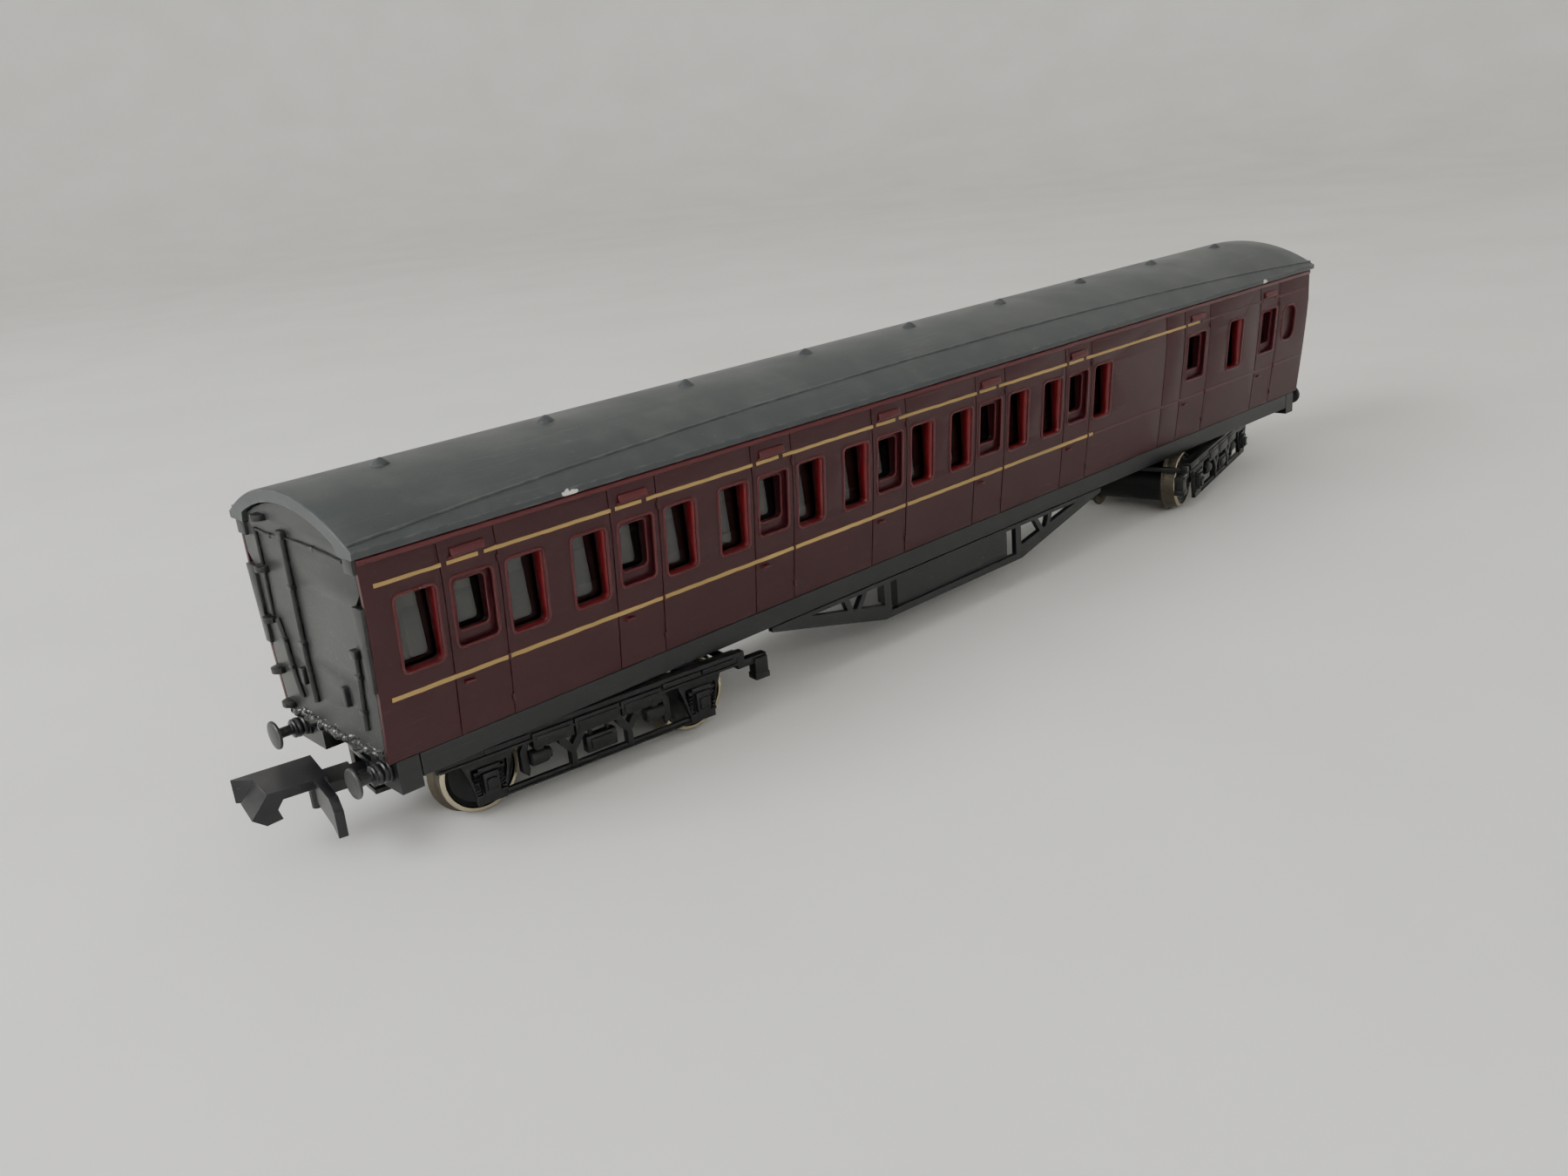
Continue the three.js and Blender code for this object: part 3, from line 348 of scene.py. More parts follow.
def tube(path, radius, sides=10, loop=False):
    """A round wire along a line. Its radius may be one number, or one for each point."""
    path = [Vector(p) for p in path]
    count = len(path)
    radii = radius if isinstance(radius, (list, tuple)) else [radius] * count
    loops = []
    side = None
    for k in range(count):
        before = path[(k - 1) % count] if loop or k else path[k]
        after = path[(k + 1) % count] if loop or k < count - 1 else path[k]
        along = (after - before).normalized()
        if side is None:
            side = along.orthogonal().normalized()
        side = (side - along * side.dot(along)).normalized()
        other = along.cross(side)
        loops.append([path[k] + radii[k] * (side * math.cos(2 * math.pi * i / sides)
                                            + other * math.sin(2 * math.pi * i / sides))
                      for i in range(sides)])
    if loop:
        loops.append(loops[0])
    return outward(rings(loops, capped=not loop))


def rounded_outline(x, width, z0, z1, corner, steps=5):
    """A rectangle with round corners, as (x, z) points, anticlockwise."""
    points = []
    x0, x1 = x - width / 2 + corner, x + width / 2 - corner
    centres = [(x1, z0 + corner, -90), (x1, z1 - corner, 0), (x0, z1 - corner, 90), (x0, z0 + corner, 180)]
    for cx, cz, start in centres:
        for i in range(steps + 1):
            angle = math.radians(start + 90 * i / steps)
            points.append((cx + corner * math.cos(angle), cz + corner * math.sin(angle)))
    return points


def pierced_plate(outer, holes=(), round_edge=0.06):
    """A flat plate one unit deep (its third coordinate from 0, the face, to 1) with round edges."""
    data = bpy.data.curves.new("outline", "CURVE")
    data.dimensions = "2D"
    data.fill_mode = "BOTH"
    data.extrude = 0.5 - round_edge
    data.bevel_depth = round_edge
    data.bevel_resolution = 2
    data.offset = -round_edge
    for points in [outer, *holes]:
        line = data.splines.new("POLY")
        line.points.add(len(points) - 1)
        for point, (a, b) in zip(line.points, points):
            point.co = (a, b, 0, 1)
        line.use_cyclic_u = True
    holder = linked("outline", data)
    seen = holder.evaluated_get(bpy.context.evaluated_depsgraph_get())
    flat = seen.to_mesh()
    made = bmesh.new()
    made.from_mesh(flat)
    seen.to_mesh_clear()
    bpy.data.objects.remove(holder)
    bpy.data.curves.remove(data)
    bmesh.ops.remove_doubles(made, verts=made.verts, dist=1e-4)
    return made


def cut_rows(made, values, axis):
    for value in values:
        place, normal = [0, 0, 0], [0, 0, 0]
        place[axis], normal[axis] = value, 1
        bmesh.ops.bisect_plane(made, geom=made.verts[:] + made.edges[:] + made.faces[:],
                               plane_co=place, plane_no=normal, dist=1e-5)


def helix(middle, radius, z0, z1, turns, wire, per_turn=14):
    """A coil spring standing up."""
    count = int(turns * per_turn)
    path = []
    for i in range(count + 1):
        angle = 2 * math.pi * turns * i / count
        path.append((middle[0] + radius * math.cos(angle), middle[1] + radius * math.sin(angle),
                     z0 + (z1 - z0) * i / count))
    return tube(path, wire, 6)


# ---------------------------------------------------------------- shared effects


def colour(red, green, blue):
    """A linear colour from screen levels of 0 to 255."""
    def linear(v):
        v /= 255
        return v / 12.92 if v <= 0.04045 else ((v + 0.055) / 1.055) ** 2.4

    return (linear(red), linear(green), linear(blue), 1)


def shader_group(name, inputs, outputs):
    group = bpy.data.node_groups.new(name, "ShaderNodeTree")
    for label, value in inputs.items():
        socket = group.interface.new_socket(label, in_out="INPUT", socket_type="NodeSocketFloat")
        socket.default_value = value
    for label in outputs:
        group.interface.new_socket(label, in_out="OUTPUT", socket_type="NodeSocketFloat")
    return group, group.nodes.new("NodeGroupInput"), group.nodes.new("NodeGroupOutput")


def calculate(tree, operation, a, b=None, clamp=False):
    node = tree.nodes.new("ShaderNodeMath")
    node.operation = operation
    node.use_clamp = clamp
    for socket, value in zip(node.inputs, (a, b)):
        if isinstance(value, (int, float)):
            socket.default_value = value
        elif value is not None:
            tree.links.new(value, socket)
    return node.outputs[0]


def speckle(tree, vector, scale, detail=4.0, stretch=None):
    """A noise pattern in the piece's own coordinates."""
    if stretch:
        mapping = tree.nodes.new("ShaderNodeMapping")
        mapping.inputs["Scale"].default_value = stretch
        tree.links.new(vector, mapping.inputs["Vector"])
        vector = mapping.outputs[0]
    node = tree.nodes.new("ShaderNodeTexNoise")
    node.inputs["Detail"].default_value = detail
    if isinstance(scale, (int, float)):
        node.inputs["Scale"].default_value = scale
    else:
        tree.links.new(scale, node.inputs["Scale"])
    tree.links.new(vector, node.inputs["Vector"])
    return node.outputs[0]


def spread(tree, value, low, high):
    node = tree.nodes.new("ShaderNodeMapRange")
    node.inputs["From Min"].default_value = low
    node.inputs["From Max"].default_value = high
    tree.links.new(value, node.inputs["Value"])
    return node.outputs[0]


def object_place(tree):
    return tree.nodes.new("ShaderNodeTexCoord").outputs["Object"]


def worn_edge_group():
    """Bare or polished edges: a mask that follows rounded corners, broken up by noise."""
    group, given, made = shader_group("worn_edges", {"Width": 0.0002, "Amount": 1.0}, ["Mask"])
    rounding = group.nodes.new("ShaderNodeBevel")
    rounding.samples = 4
    group.links.new(given.outputs["Width"], rounding.inputs["Radius"])
    surface = group.nodes.new("ShaderNodeNewGeometry")
    dot = group.nodes.new("ShaderNodeVectorMath")
    dot.operation = "DOT_PRODUCT"
    group.links.new(rounding.outputs[0], dot.inputs[0])
    group.links.new(surface.outputs["Normal"], dot.inputs[1])
    bend = spread(group, calculate(group, "SUBTRACT", 1.0, dot.outputs["Value"]), 0.01, 0.16)
    patchy = spread(group, speckle(group, object_place(group), 900.0, 5), 0.42, 0.66)
    mask = calculate(group, "MULTIPLY", bend, patchy)
    group.links.new(calculate(group, "MULTIPLY", mask, given.outputs["Amount"], True), made.inputs["Mask"])
    return group


def moulding_group():
    """Moulded plastic: slow colour change, fine grain and faint flow lines."""
    group, given, made = shader_group("moulded_grain", {"Grain Scale": 6000.0, "Cloud Scale": 120.0},
                                      ["Grain", "Cloud", "Streak"])
    place = object_place(group)
    group.links.new(speckle(group, place, given.outputs["Grain Scale"], 3), made.inputs["Grain"])
    cloud = spread(group, speckle(group, place, given.outputs["Cloud Scale"], 6), 0.3, 0.7)
    group.links.new(cloud, made.inputs["Cloud"])
    streak = spread(group, speckle(group, place, 260.0, 5, (0.25, 1.0, 3.0)), 0.35, 0.7)
    group.links.new(streak, made.inputs["Streak"])
    return group


def dust_group():
    """Dust on what faces up and in fine specks."""
    group, given, made = shader_group("settled_dust", {"Amount": 0.3}, ["Mask"])
    surface = group.nodes.new("ShaderNodeNewGeometry")
    parts = group.nodes.new("ShaderNodeSeparateXYZ")
    group.links.new(surface.outputs["Normal"], parts.inputs[0])
    upward = spread(group, parts.outputs["Z"], 0.2, 1.0)
    place = object_place(group)
    drift = spread(group, speckle(group, place, 350.0, 6), 0.45, 0.75)
    specks = spread(group, speckle(group, place, 2600.0, 2), 0.70, 0.74)
    both = calculate(group, "ADD", calculate(group, "MULTIPLY", upward, drift), specks)
    group.links.new(calculate(group, "MULTIPLY", both, given.outputs["Amount"], True), made.inputs["Mask"])
    return group


def scratch_group():
    """Fine handling scratches that run along the coach."""
    group, given, made = shader_group("handling_scratches", {"Amount": 0.5}, ["Mask"])
    place = object_place(group)
    line = speckle(group, place, 700.0, 2, (0.05, 1.0, 2.2))
    thin = spread(group, calculate(group, "ABSOLUTE", calculate(group, "SUBTRACT", line, 0.5)), 0.006, 0.0)
    where = spread(group, speckle(group, place, 90.0, 3), 0.52, 0.62)
    both = calculate(group, "MULTIPLY", thin, where)
    group.links.new(calculate(group, "MULTIPLY", both, given.outputs["Amount"], True), made.inputs["Mask"])
    return group


WORN_EDGES = worn_edge_group()
MOULDED_GRAIN = moulding_group()
SETTLED_DUST = dust_group()
HANDLING_SCRATCHES = scratch_group()


def placed_group(tree, group, **values):
    node = tree.nodes.new("ShaderNodeGroup")
    node.node_tree = group
    for label, value in values.items():
        node.inputs[label.replace("_", " ")].default_value = value
    return node


def blended(tree, share, first, second):
    """One colour over another by a mask."""
    node = tree.nodes.new("ShaderNodeMix")
    node.data_type = "RGBA"
    tree.links.new(share, node.inputs["Factor"])
    for socket, value in ((node.inputs[6], first), (node.inputs[7], second)):
        if isinstance(value, tuple):
            socket.default_value = value
        else:
            tree.links.new(value, socket)
    return node.outputs[2]


def darker(shade, by):
    return (*[c * by for c in shade[:3]], 1)


def finish(name, base, rough, worn=None, wear=0.6, wear_width=0.00012, dust=0.25, dust_shade=None,
           metal=0.0, grain=0.00002, variation=0.82, specular=0.5, coat=0.0, scratches=0.3, alter=None):
    """A moulded, painted or metal finish with grain, wear, dust and scratches."""
    material = bpy.data.materials.new(name)
    material.use_nodes = True
    tree = material.node_tree
    shader = tree.nodes["Principled BSDF"]
    shader.inputs["Metallic"].default_value = metal
    shader.inputs["Specular IOR Level"].default_value = specular
    shader.inputs["Coat Weight"].default_value = coat
    shader.inputs["Coat Roughness"].default_value = 0.15
    grained = placed_group(tree, MOULDED_GRAIN)
    edges = placed_group(tree, WORN_EDGES, Width=wear_width, Amount=wear)
    dusty = placed_group(tree, SETTLED_DUST, Amount=dust)
    scratched = placed_group(tree, HANDLING_SCRATCHES, Amount=scratches)
    shade = blended(tree, grained.outputs["Cloud"], darker(base, variation), darker(base, 2 - variation))
    shade = blended(tree, grained.outputs["Streak"], shade, darker(base, variation))
    shade = blended(tree, edges.outputs["Mask"], shade, worn or darker(base, 2.4))
    shade = blended(tree, scratched.outputs["Mask"], shade, worn or darker(base, 3.0))
    shade = blended(tree, dusty.outputs["Mask"], shade, dust_shade or colour(150, 148, 142))
    if alter:
        shade = alter(tree, shade)
    tree.links.new(shade, shader.inputs["Base Color"])
    uneven = calculate(tree, "MULTIPLY_ADD", grained.outputs["Cloud"], 0.14)
    uneven.node.inputs[2].default_value = rough - 0.07
    raised = calculate(tree, "ADD", uneven, calculate(tree, "MULTIPLY", dusty.outputs["Mask"], 0.3), True)
    tree.links.new(raised, shader.inputs["Roughness"])
    bump = tree.nodes.new("ShaderNodeBump")
    bump.inputs["Distance"].default_value = grain
    bump.inputs["Strength"].default_value = 0.5
    height = calculate(tree, "SUBTRACT", grained.outputs["Grain"], scratched.outputs["Mask"])
    tree.links.new(height, bump.inputs["Height"])
    tree.links.new(bump.outputs[0], shader.inputs["Normal"])
    return material


def chipped(places, shade_to):
    """Paint chips: irregular pale spots at given places on the piece."""
    def alter(tree, shade):
        place = object_place(tree)
        ragged = calculate(tree, "MULTIPLY", speckle(tree, place, 1800.0, 4), 0.0009)
        for x, y, z, size in places:
            away = tree.nodes.new("ShaderNodeVectorMath")
            away.operation = "DISTANCE"
            tree.links.new(place, away.inputs[0])
            away.inputs[1].default_value = (x * MM, y * MM, z * MM)
            reach = calculate(tree, "ADD", away.outputs["Value"], ragged)
            spot = spread(tree, reach, size * MM + 0.00062, size * MM + 0.00055)
            shade = blended(tree, spot, shade, shade_to)
        return shade
    return alter


def clear_finish():
    """Clear glazing with faint smears."""
    material = bpy.data.materials.new("clear_glazing")
    material.use_nodes = True
    tree = material.node_tree
    shader = tree.nodes["Principled BSDF"]
    shader.inputs["Base Color"].default_value = colour(150, 155, 152)
    shader.inputs["Transmission Weight"].default_value = 1.0
    shader.inputs["IOR"].default_value = 1.6
    shader.inputs["Specular IOR Level"].default_value = 0.9
    place = object_place(tree)
    smear = spread(tree, speckle(tree, place, 220.0, 5), 0.3, 0.8)
    tree.links.new(calculate(tree, "MULTIPLY", smear, 0.12), shader.inputs["Roughness"])
    bump = tree.nodes.new("ShaderNodeBump")
    bump.inputs["Distance"].default_value = 0.00003
    bump.inputs["Strength"].default_value = 0.25
    tree.links.new(speckle(tree, place, 160.0, 2), bump.inputs["Height"])
    tree.links.new(bump.outputs[0], shader.inputs["Normal"])
    return material


PALE = colour(205, 203, 196)
ROOF_GREY = finish("roof_grey", colour(50, 55, 56), 0.42, colour(120, 122, 118), 0.6, 0.00022, 0.1,
                   variation=0.93, alter=chipped([(-43.6, -8.98, 21.75, 0.16), (-43.2, -8.98, 21.72, 0.2),
                                                  (48.0, -8.98, 21.75, 0.2)], PALE))
END_GREY = finish("end_grey", colour(37, 39, 38), 0.4, colour(120, 122, 116), 0.4, 0.00015, 0.12,
                  variation=0.9)
END_BLACK = finish("end_fittings_black", colour(12, 13, 14), 0.38, colour(80, 82, 82), 0.5, 0.0001, 0.1)
MAROON = finish("maroon", colour(50, 10, 16), 0.38, colour(118, 70, 68), 0.18, 0.0001, 0.035,
                colour(150, 120, 118), grain=0.000012, variation=0.9, scratches=0.35, specular=0.38)
# Painted highlight: beads, bonnets and handles are the body's maroon plastic, made a lighter crimson to stand in for
# light catching their raised edges.
MAROON_PAINTED_HIGHLIGHT = finish("maroon_painted_highlight", colour(74, 9, 17), 0.34, colour(140, 60, 60), 0.2, 0.00008, 0.05,
                 colour(150, 100, 98), variation=0.88)
# Painted light: the reveals are the body's maroon plastic, made a brighter crimson to stand in for light glowing
# through the translucent walls.
REVEAL_PAINTED_GLOW = finish("reveal_painted_glow", colour(112, 10, 20), 0.4, colour(160, 50, 50), 0.1, 0.00008, 0.04,
                colour(160, 90, 90), variation=0.75)
GOLD = finish("gold_lining", colour(168, 138, 80), 0.45, colour(190, 168, 120), 0.2, 0.00008, 0.06,
              variation=0.72)
FADED_LINING = finish("faded_lining", colour(66, 28, 28), 0.42, colour(140, 100, 84), 0.3, 0.00008, 0.06,
                      variation=0.75)
CHASSIS_BLACK = finish("chassis_black", colour(14, 16, 18), 0.36, colour(66, 70, 70), 0.4, 0.0001, 0.1)
BOGIE_BLACK = finish("bogie_black", colour(7, 8, 9), 0.36, colour(50, 54, 56), 0.45, 0.0001, 0.07,
                     specular=0.4)
COUPLER_BLACK = finish("coupler_black", colour(15, 15, 20), 0.36, colour(62, 62, 72), 0.45, 0.00012, 0.07)
HEAD_GREY = finish("buffer_head_grey", colour(24, 26, 27), 0.34, colour(130, 130, 126), 0.9, 0.00014, 0.15)
NICKEL = finish("nickel", colour(186, 176, 150), 0.26, colour(215, 208, 190), 0.3, 0.00012, 0.08,
                metal=1.0, variation=0.85, grain=0.00001)
STEEL = finish("steel", colour(120, 120, 118), 0.34, colour(170, 170, 168), 0.3, 0.00012, 0.1, metal=1.0)
CLEAR = clear_finish()
GLUE = finish("hardened_glue", colour(34, 35, 33), 0.22, colour(80, 80, 76), 0.15, 0.00012, 0.02,
              coat=0.3, specular=0.6)
# Painted shade: the tread is the same nickel as the tyre's face, made a dull dark brown-grey to stand in for the shade
# under the frame.
TREAD_PAINTED_SHADE = finish("tread_painted_shade", colour(92, 86, 74), 0.42, colour(150, 142, 124), 0.3, 0.0001, 0.2, metal=0.7,
               variation=0.7)


# ---------------------------------------------------------------- placing pieces


def placed(name, shape, body, slot, materials, replaces=(), crease=32, soften=0.0):
    """A finished piece on its body, with smooth faces and sharp edges where they turn quickly."""
    data = shape if isinstance(shape, bpy.types.Mesh) else shape.mesh(name)
    data.name = name
    for material in materials if isinstance(materials, (list, tuple)) else [materials]:
        data.materials.append(material)
    data.polygons.foreach_set("use_smooth", [True] * len(data.polygons))
    data.set_sharp_from_angle(angle=math.radians(crease))
    made = linked(name, data)
    if soften:
        round_over = made.modifiers.new("soft_edges", "BEVEL")
        round_over.width = soften * MM
        round_over.segments = 2
        round_over.limit_method = "ANGLE"
        round_over.angle_limit = math.radians(crease)
        round_over.use_clamp_overlap = True
    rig.ride(made, body)
    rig.slot(made, slot)
    if replaces:
        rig.replaces(made, *replaces)
    return made


def softened(node, slot, material, edge):
    """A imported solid's copy with its flat faces whole and its edges rounded."""
    made = bmesh.new()
    made.from_mesh(nodes[node].data)
    bmesh.ops.remove_doubles(made, verts=made.verts, dist=2e-6)
    bmesh.ops.dissolve_limit(made, angle_limit=math.radians(0.6), verts=made.verts, edges=made.edges)
    data = bpy.data.meshes.new(node)
    made.to_mesh(data)
    made.free()
    return placed(f"{node}_piece", data, nodes[node]["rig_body"], slot, material, [node], 28, edge)


# ---------------------------------------------------------------- sides


def on_skin(made, depth_of):
    """Bends a plate of (x, z, depth) to the right side's skin, and gives it as a shape."""
    shape = read_back(made)
    bent = []
    for p in shape.points:
        outer, inner = depth_of(p.x, p.y)
        bent.append(Vector((p.x, -(outer + (inner - outer) * (0.5 - p.z)), p.y)))
    shape.points = bent
    return outward(shape)


ROWS = [FOOT_Z + 0.5 + i * 0.73 for i in range(15)]
SEAM = 0.045


def seam_backing(x):
    """A strip behind a seam, so that the seam reads as a shallow groove."""
    made = pierced_plate([(x - 0.3, FOOT_Z + 0.02), (x + 0.3, FOOT_Z + 0.02), (x + 0.3, SIDE_TOP_Z - 0.02),
                          (x - 0.3, SIDE_TOP_Z - 0.02)], (), 0.02)
    cut_rows(made, ROWS, 1)
    return on_skin(made, lambda x, z: (skin_y(z) - 0.09, skin_y(z) - 0.5))


def side_panel():
    """The side's moulding: skin, doors with their seams, sashes and lugs."""
    def full(x, z):
        outer = skin_y(z)
        return outer, outer - END_SKIN if abs(x) > HALF_LENGTH - END_THICKNESS - 0.06 else wall_inner_y(z)

    def plate(x0, x1, holes, depth_of):
        outer = [(x0, FOOT_Z), (x1, FOOT_Z), (x1, SIDE_TOP_Z), (x0, SIDE_TOP_Z)]
        made = pierced_plate(outer, holes, 0.05)
        cut_rows(made, ROWS, 1)
        ends = [s * (HALF_LENGTH - END_THICKNESS - d) for s in (-1, 1) for d in (0, 0.1)]
        cut_rows(made, [x for x in ends if x0 < x < x1], 0)
        return on_skin(made, depth_of)

    holes = [(x, rounded_outline(x, WINDOW[0], *WINDOW[1:])) for x in WINDOWS]
    holes.append((BLIND[0], rounded_outline(BLIND[0], BLIND[1], BLIND[2], BLIND[3], 1.1)))
    edges = [-HALF_LENGTH] + [x + s * width / 2 for x, width in DOORS for s in (-1, 1)] + [HALF_LENGTH]
    spans = list(zip(edges[::2], edges[1::2]))
    van = next(i for i, (x0, x1) in enumerate(spans) if x0 < VAN_SEAM_X < x1)
    spans[van:van + 1] = [(spans[van][0], VAN_SEAM_X), (VAN_SEAM_X, spans[van][1])]
    whole = Shape()
    for x0, x1 in spans:
        gap0, gap1 = (0 if abs(x) == HALF_LENGTH else SEAM for x in (x0, x1))
        whole.take(plate(x0 + gap0, x1 - gap1, [line for x, line in holes if x0 < x < x1], full))
    for x, width in DOORS:
        spare = (width - DOOR_WIDTH) / 2
        recess = rounded_outline(x, 3.0 + spare, 13.9, WINDOW[2], 0.5)
        whole.take(plate(x - width / 2 + SEAM, x + width / 2 - SEAM, [recess],
                         lambda x, z: (skin_y(z), skin_y(z) - 0.6)))
        sash = rounded_outline(x, 3.3 + spare, 13.7, WINDOW[2] + 0.2, 0.4)
        light = rounded_outline(x, 2.3 + spare, 14.8, WINDOW[2] - 0.35, 0.4)
        made = pierced_plate(sash, [light], 0.08)
        cut_rows(made, ROWS, 1)
        whole.take(on_skin(made, lambda x, z: (skin_y(z) - 0.4, wall_inner_y(z))))
        for seam in (x - width / 2, x + width / 2):
            whole.take(seam_backing(seam))
    whole.take(seam_backing(VAN_SEAM_X))
    line = rounded_outline(BLIND[0], BLIND[1] + 0.4, BLIND[2] - 0.2, BLIND[3] + 0.2, 1.1)
    blind = pierced_plate(line, (), 0.05)
    cut_rows(blind, ROWS, 1)
    whole.take(on_skin(blind, lambda x, z: (skin_y(z) - 0.35, skin_y(z) - 0.8)))
    for sign in (-1, 1):
        for z0, z1 in LUGS:
            low = (sign * (HALF_LENGTH - END_THICKNESS), -1, z0)
            high = (sign * (HALF_LENGTH + 0.24), 0, z1)
            whole.take(rounded_block(low, high, 0.08).moved(against_skin), 1)
    return whole


def against_skin(p):
    """A lug's point, with its Y from -1 to 0 stretched from the skin to the wall's inner face."""
    return (p.x, -(WALL_INNER_Y - p.y * (skin_y(p.z, 0.1) - WALL_INNER_Y)), p.z)


def along_skin(points, proud=0.0):
    return [(x, -skin_y(z) - proud, z) for x, z in points]


def window_frames():
    """The raised bead round every window and sash, and the long bead under the gutter."""
    shape = Shape()
    for x in WINDOWS:
        line = rounded_outline(x, WINDOW[0] + 0.16, WINDOW[1] - 0.08, WINDOW[2] + 0.08, 0.44, 6)
        shape.take(tube(along_skin(line, -0.03), 0.13, 10, True))
    line = rounded_outline(BLIND[0], BLIND[1] + 0.12, BLIND[2] - 0.06, BLIND[3] + 0.06, 1.14, 6)
    shape.take(tube(along_skin(line, -0.03), 0.12, 10, True))
    for x, width in DOORS:
        spare = (width - DOOR_WIDTH) / 2
        line = rounded_outline(x, 3.12 + spare, 13.84, WINDOW[2] + 0.06, 0.42, 6)
        shape.take(tube(along_skin(line, -0.03), 0.12, 10, True))
        line = rounded_outline(x, 2.36 + spare, 14.77, WINDOW[2] - 0.32, 0.4, 6)
        shape.take(tube(along_skin(line, -0.47), 0.1, 8, True))
    shape.take(rounded_block((-HALF_LENGTH + 0.02, -HALF_WIDTH - 0.14, SIDE_TOP_Z - 0.4),
                             (HALF_LENGTH - 0.02, -HALF_WIDTH + 0.2, SIDE_TOP_Z), 0.1, 3))
    return shape


def window_reveals():
    """The inner faces of the window openings, in a brighter crimson than the body: painted light for the glow through
    the translucent plastic.
    """
    shape = Shape()
    for x in WINDOWS:
        line = rounded_outline(x, WINDOW[0] - 0.04, WINDOW[1] + 0.02, WINDOW[2] - 0.02, 0.38, 6)
        shape.take(rings([[(a, -skin_y(b) + 0.1, b) for a, b in line],
                          [(a, -WALL_INNER_Y - 0.02, b) for a, b in line]], capped=False))
    return shape


def lining():
    """The raised painted lines at the waist and above the windows."""
    def strip(x0, x1, z, height, proud):
        count = max(2, int((x1 - x0) / 0.7))
        loops = []
        for i in range(count + 1):
            x = x0 + (x1 - x0) * i / count
            wander = 0.035 * noise.noise(Vector((x * 1.9, z, 0.3)))
            swell = height / 2 * (1 + 0.16 * noise.noise(Vector((x * 2.7, z, 5.1))))
            low, high = z + wander - swell, z + wander + swell
            loops.append([(x, -skin_y(low) + 0.05, low), (x, -skin_y(low) - proud, low + 0.03),
                          (x, -skin_y(z) - proud * 1.5, z), (x, -skin_y(high) - proud, high - 0.03),
                          (x, -skin_y(high) + 0.05, high)])
        return outward(rings(loops))

    upper, lower = 19.69, WAIST_Z
    gold, faint = Shape(), Shape()
    start = -57.9
    for x, width in DOORS:
        seam = x - width / 2
        end = seam + 0.1
        into = gold if x < 36 else faint
        height = 0.3 if into is gold else 0.24
        into.take(strip(start, end, upper, height, 0.04))
        into.take(strip(seam + 0.5, seam + 2.75, upper, height, 0.04))
        start = seam + 3.2
    faint.take(strip(start, 57.9, upper, 0.26, 0.04))
    gold.take(strip(-57.9, 17.0, lower, 0.36, 0.04))
    faint.take(strip(17.3, 57.9, lower, 0.28, 0.03))
    return gold, faint


def bonnets():
    """The small round-edged ventilator bonnet over each door, with a drip ledge below it."""
    def leaning(p):
        return (p.x, -HALF_WIDTH + 0.08 - p.y * (1 - 0.75 * max(0, p.z - 20.15)), p.z)

    shape = Shape()
    for x, width in DOORS:
        block = rounded_block((x - 1.25, 0.0, 20.0), (x + 1.25, 0.33, 20.6), 0.14, 4)
        shape.take(block.moved(leaning))
        low, high = (x - 1.4, -HALF_WIDTH + 0.1, 19.93), (x + 1.4, -HALF_WIDTH - 0.12, 20.06)
        shape.take(rounded_block(low, high, 0.05))
    return shape


def door_handles():
    """A turned handle below the lining at the left of each door."""
    shape = Shape()
    for x, width in DOORS:
        left = x - width / 2 + 0.75
        z = WAIST_Z - 0.62
        y = -skin_y(z)
        boss = [(0.0, -0.17), (0.12, -0.14), (0.17, 0.0), (0.21, 0.02), (0.21, 0.1)]
        shape.take(turned(boss, "y", (left, y, z), 14))
        shape.take(tube(smooth_path([(left - 0.1, y - 0.12, z), (left + 0.25, y - 0.16, z + 0.01),
                                     (left + 0.62, y - 0.1, z - 0.03)], 5), 0.1, 8))
    return shape


# ---------------------------------------------------------------- what repeats


def row_tree():
    """Copies of a unit part in a row, each turned a little, as one solid mesh."""
    tree = bpy.data.node_groups.new("row_of_parts", "GeometryNodeTree")
    sockets = {}
    for label, kind in (("Part", "Geometry"), ("Count", "Int"), ("Start", "Vector"), ("Step", "Vector"),
                        ("Turn", "Float"), ("Seed", "Int"), ("Finish", "Material")):
        socket = tree.interface.new_socket(label, in_out="INPUT", socket_type=f"NodeSocket{kind}")
        sockets[label] = socket.identifier
    tree.interface.new_socket("Geometry", in_out="OUTPUT", socket_type="NodeSocketGeometry")
    given, made = tree.nodes.new("NodeGroupInput"), tree.nodes.new("NodeGroupOutput")
    line = tree.nodes.new("GeometryNodeMeshLine")
    turn = tree.nodes.new("FunctionNodeRandomValue")
    turn.data_type = "FLOAT_VECTOR"
    spin = tree.nodes.new("ShaderNodeCombineXYZ")
    back = tree.nodes.new("ShaderNodeVectorMath")
    back.operation = "SCALE"
    back.inputs["Scale"].default_value = -1.0
    copies = tree.nodes.new("GeometryNodeInstanceOnPoints")
    whole = tree.nodes.new("GeometryNodeRealizeInstances")
    paint = tree.nodes.new("GeometryNodeSetMaterial")
    for source, target in (
            (given.outputs["Count"], line.inputs["Count"]),
            (given.outputs["Start"], line.inputs["Start Location"]),
            (given.outputs["Step"], line.inputs["Offset"]),
            (given.outputs["Turn"], spin.inputs["Z"]),
            (spin.outputs[0], back.inputs[0]),
            (back.outputs[0], turn.inputs[0]),
            (spin.outputs[0], turn.inputs[1]),
            (given.outputs["Seed"], turn.inputs["Seed"]),
            (line.outputs[0], copies.inputs["Points"]),
            (given.outputs["Part"], copies.inputs["Instance"]),
            (turn.outputs[0], copies.inputs["Rotation"]),
            (copies.outputs[0], whole.inputs[0]),
            (whole.outputs[0], paint.inputs["Geometry"]),
            (given.outputs["Finish"], paint.inputs["Material"]),
            (paint.outputs[0], made.inputs[0])):
        tree.links.new(source, target)
    return tree, sockets


ROW_TREE, ROW_SOCKETS = row_tree()


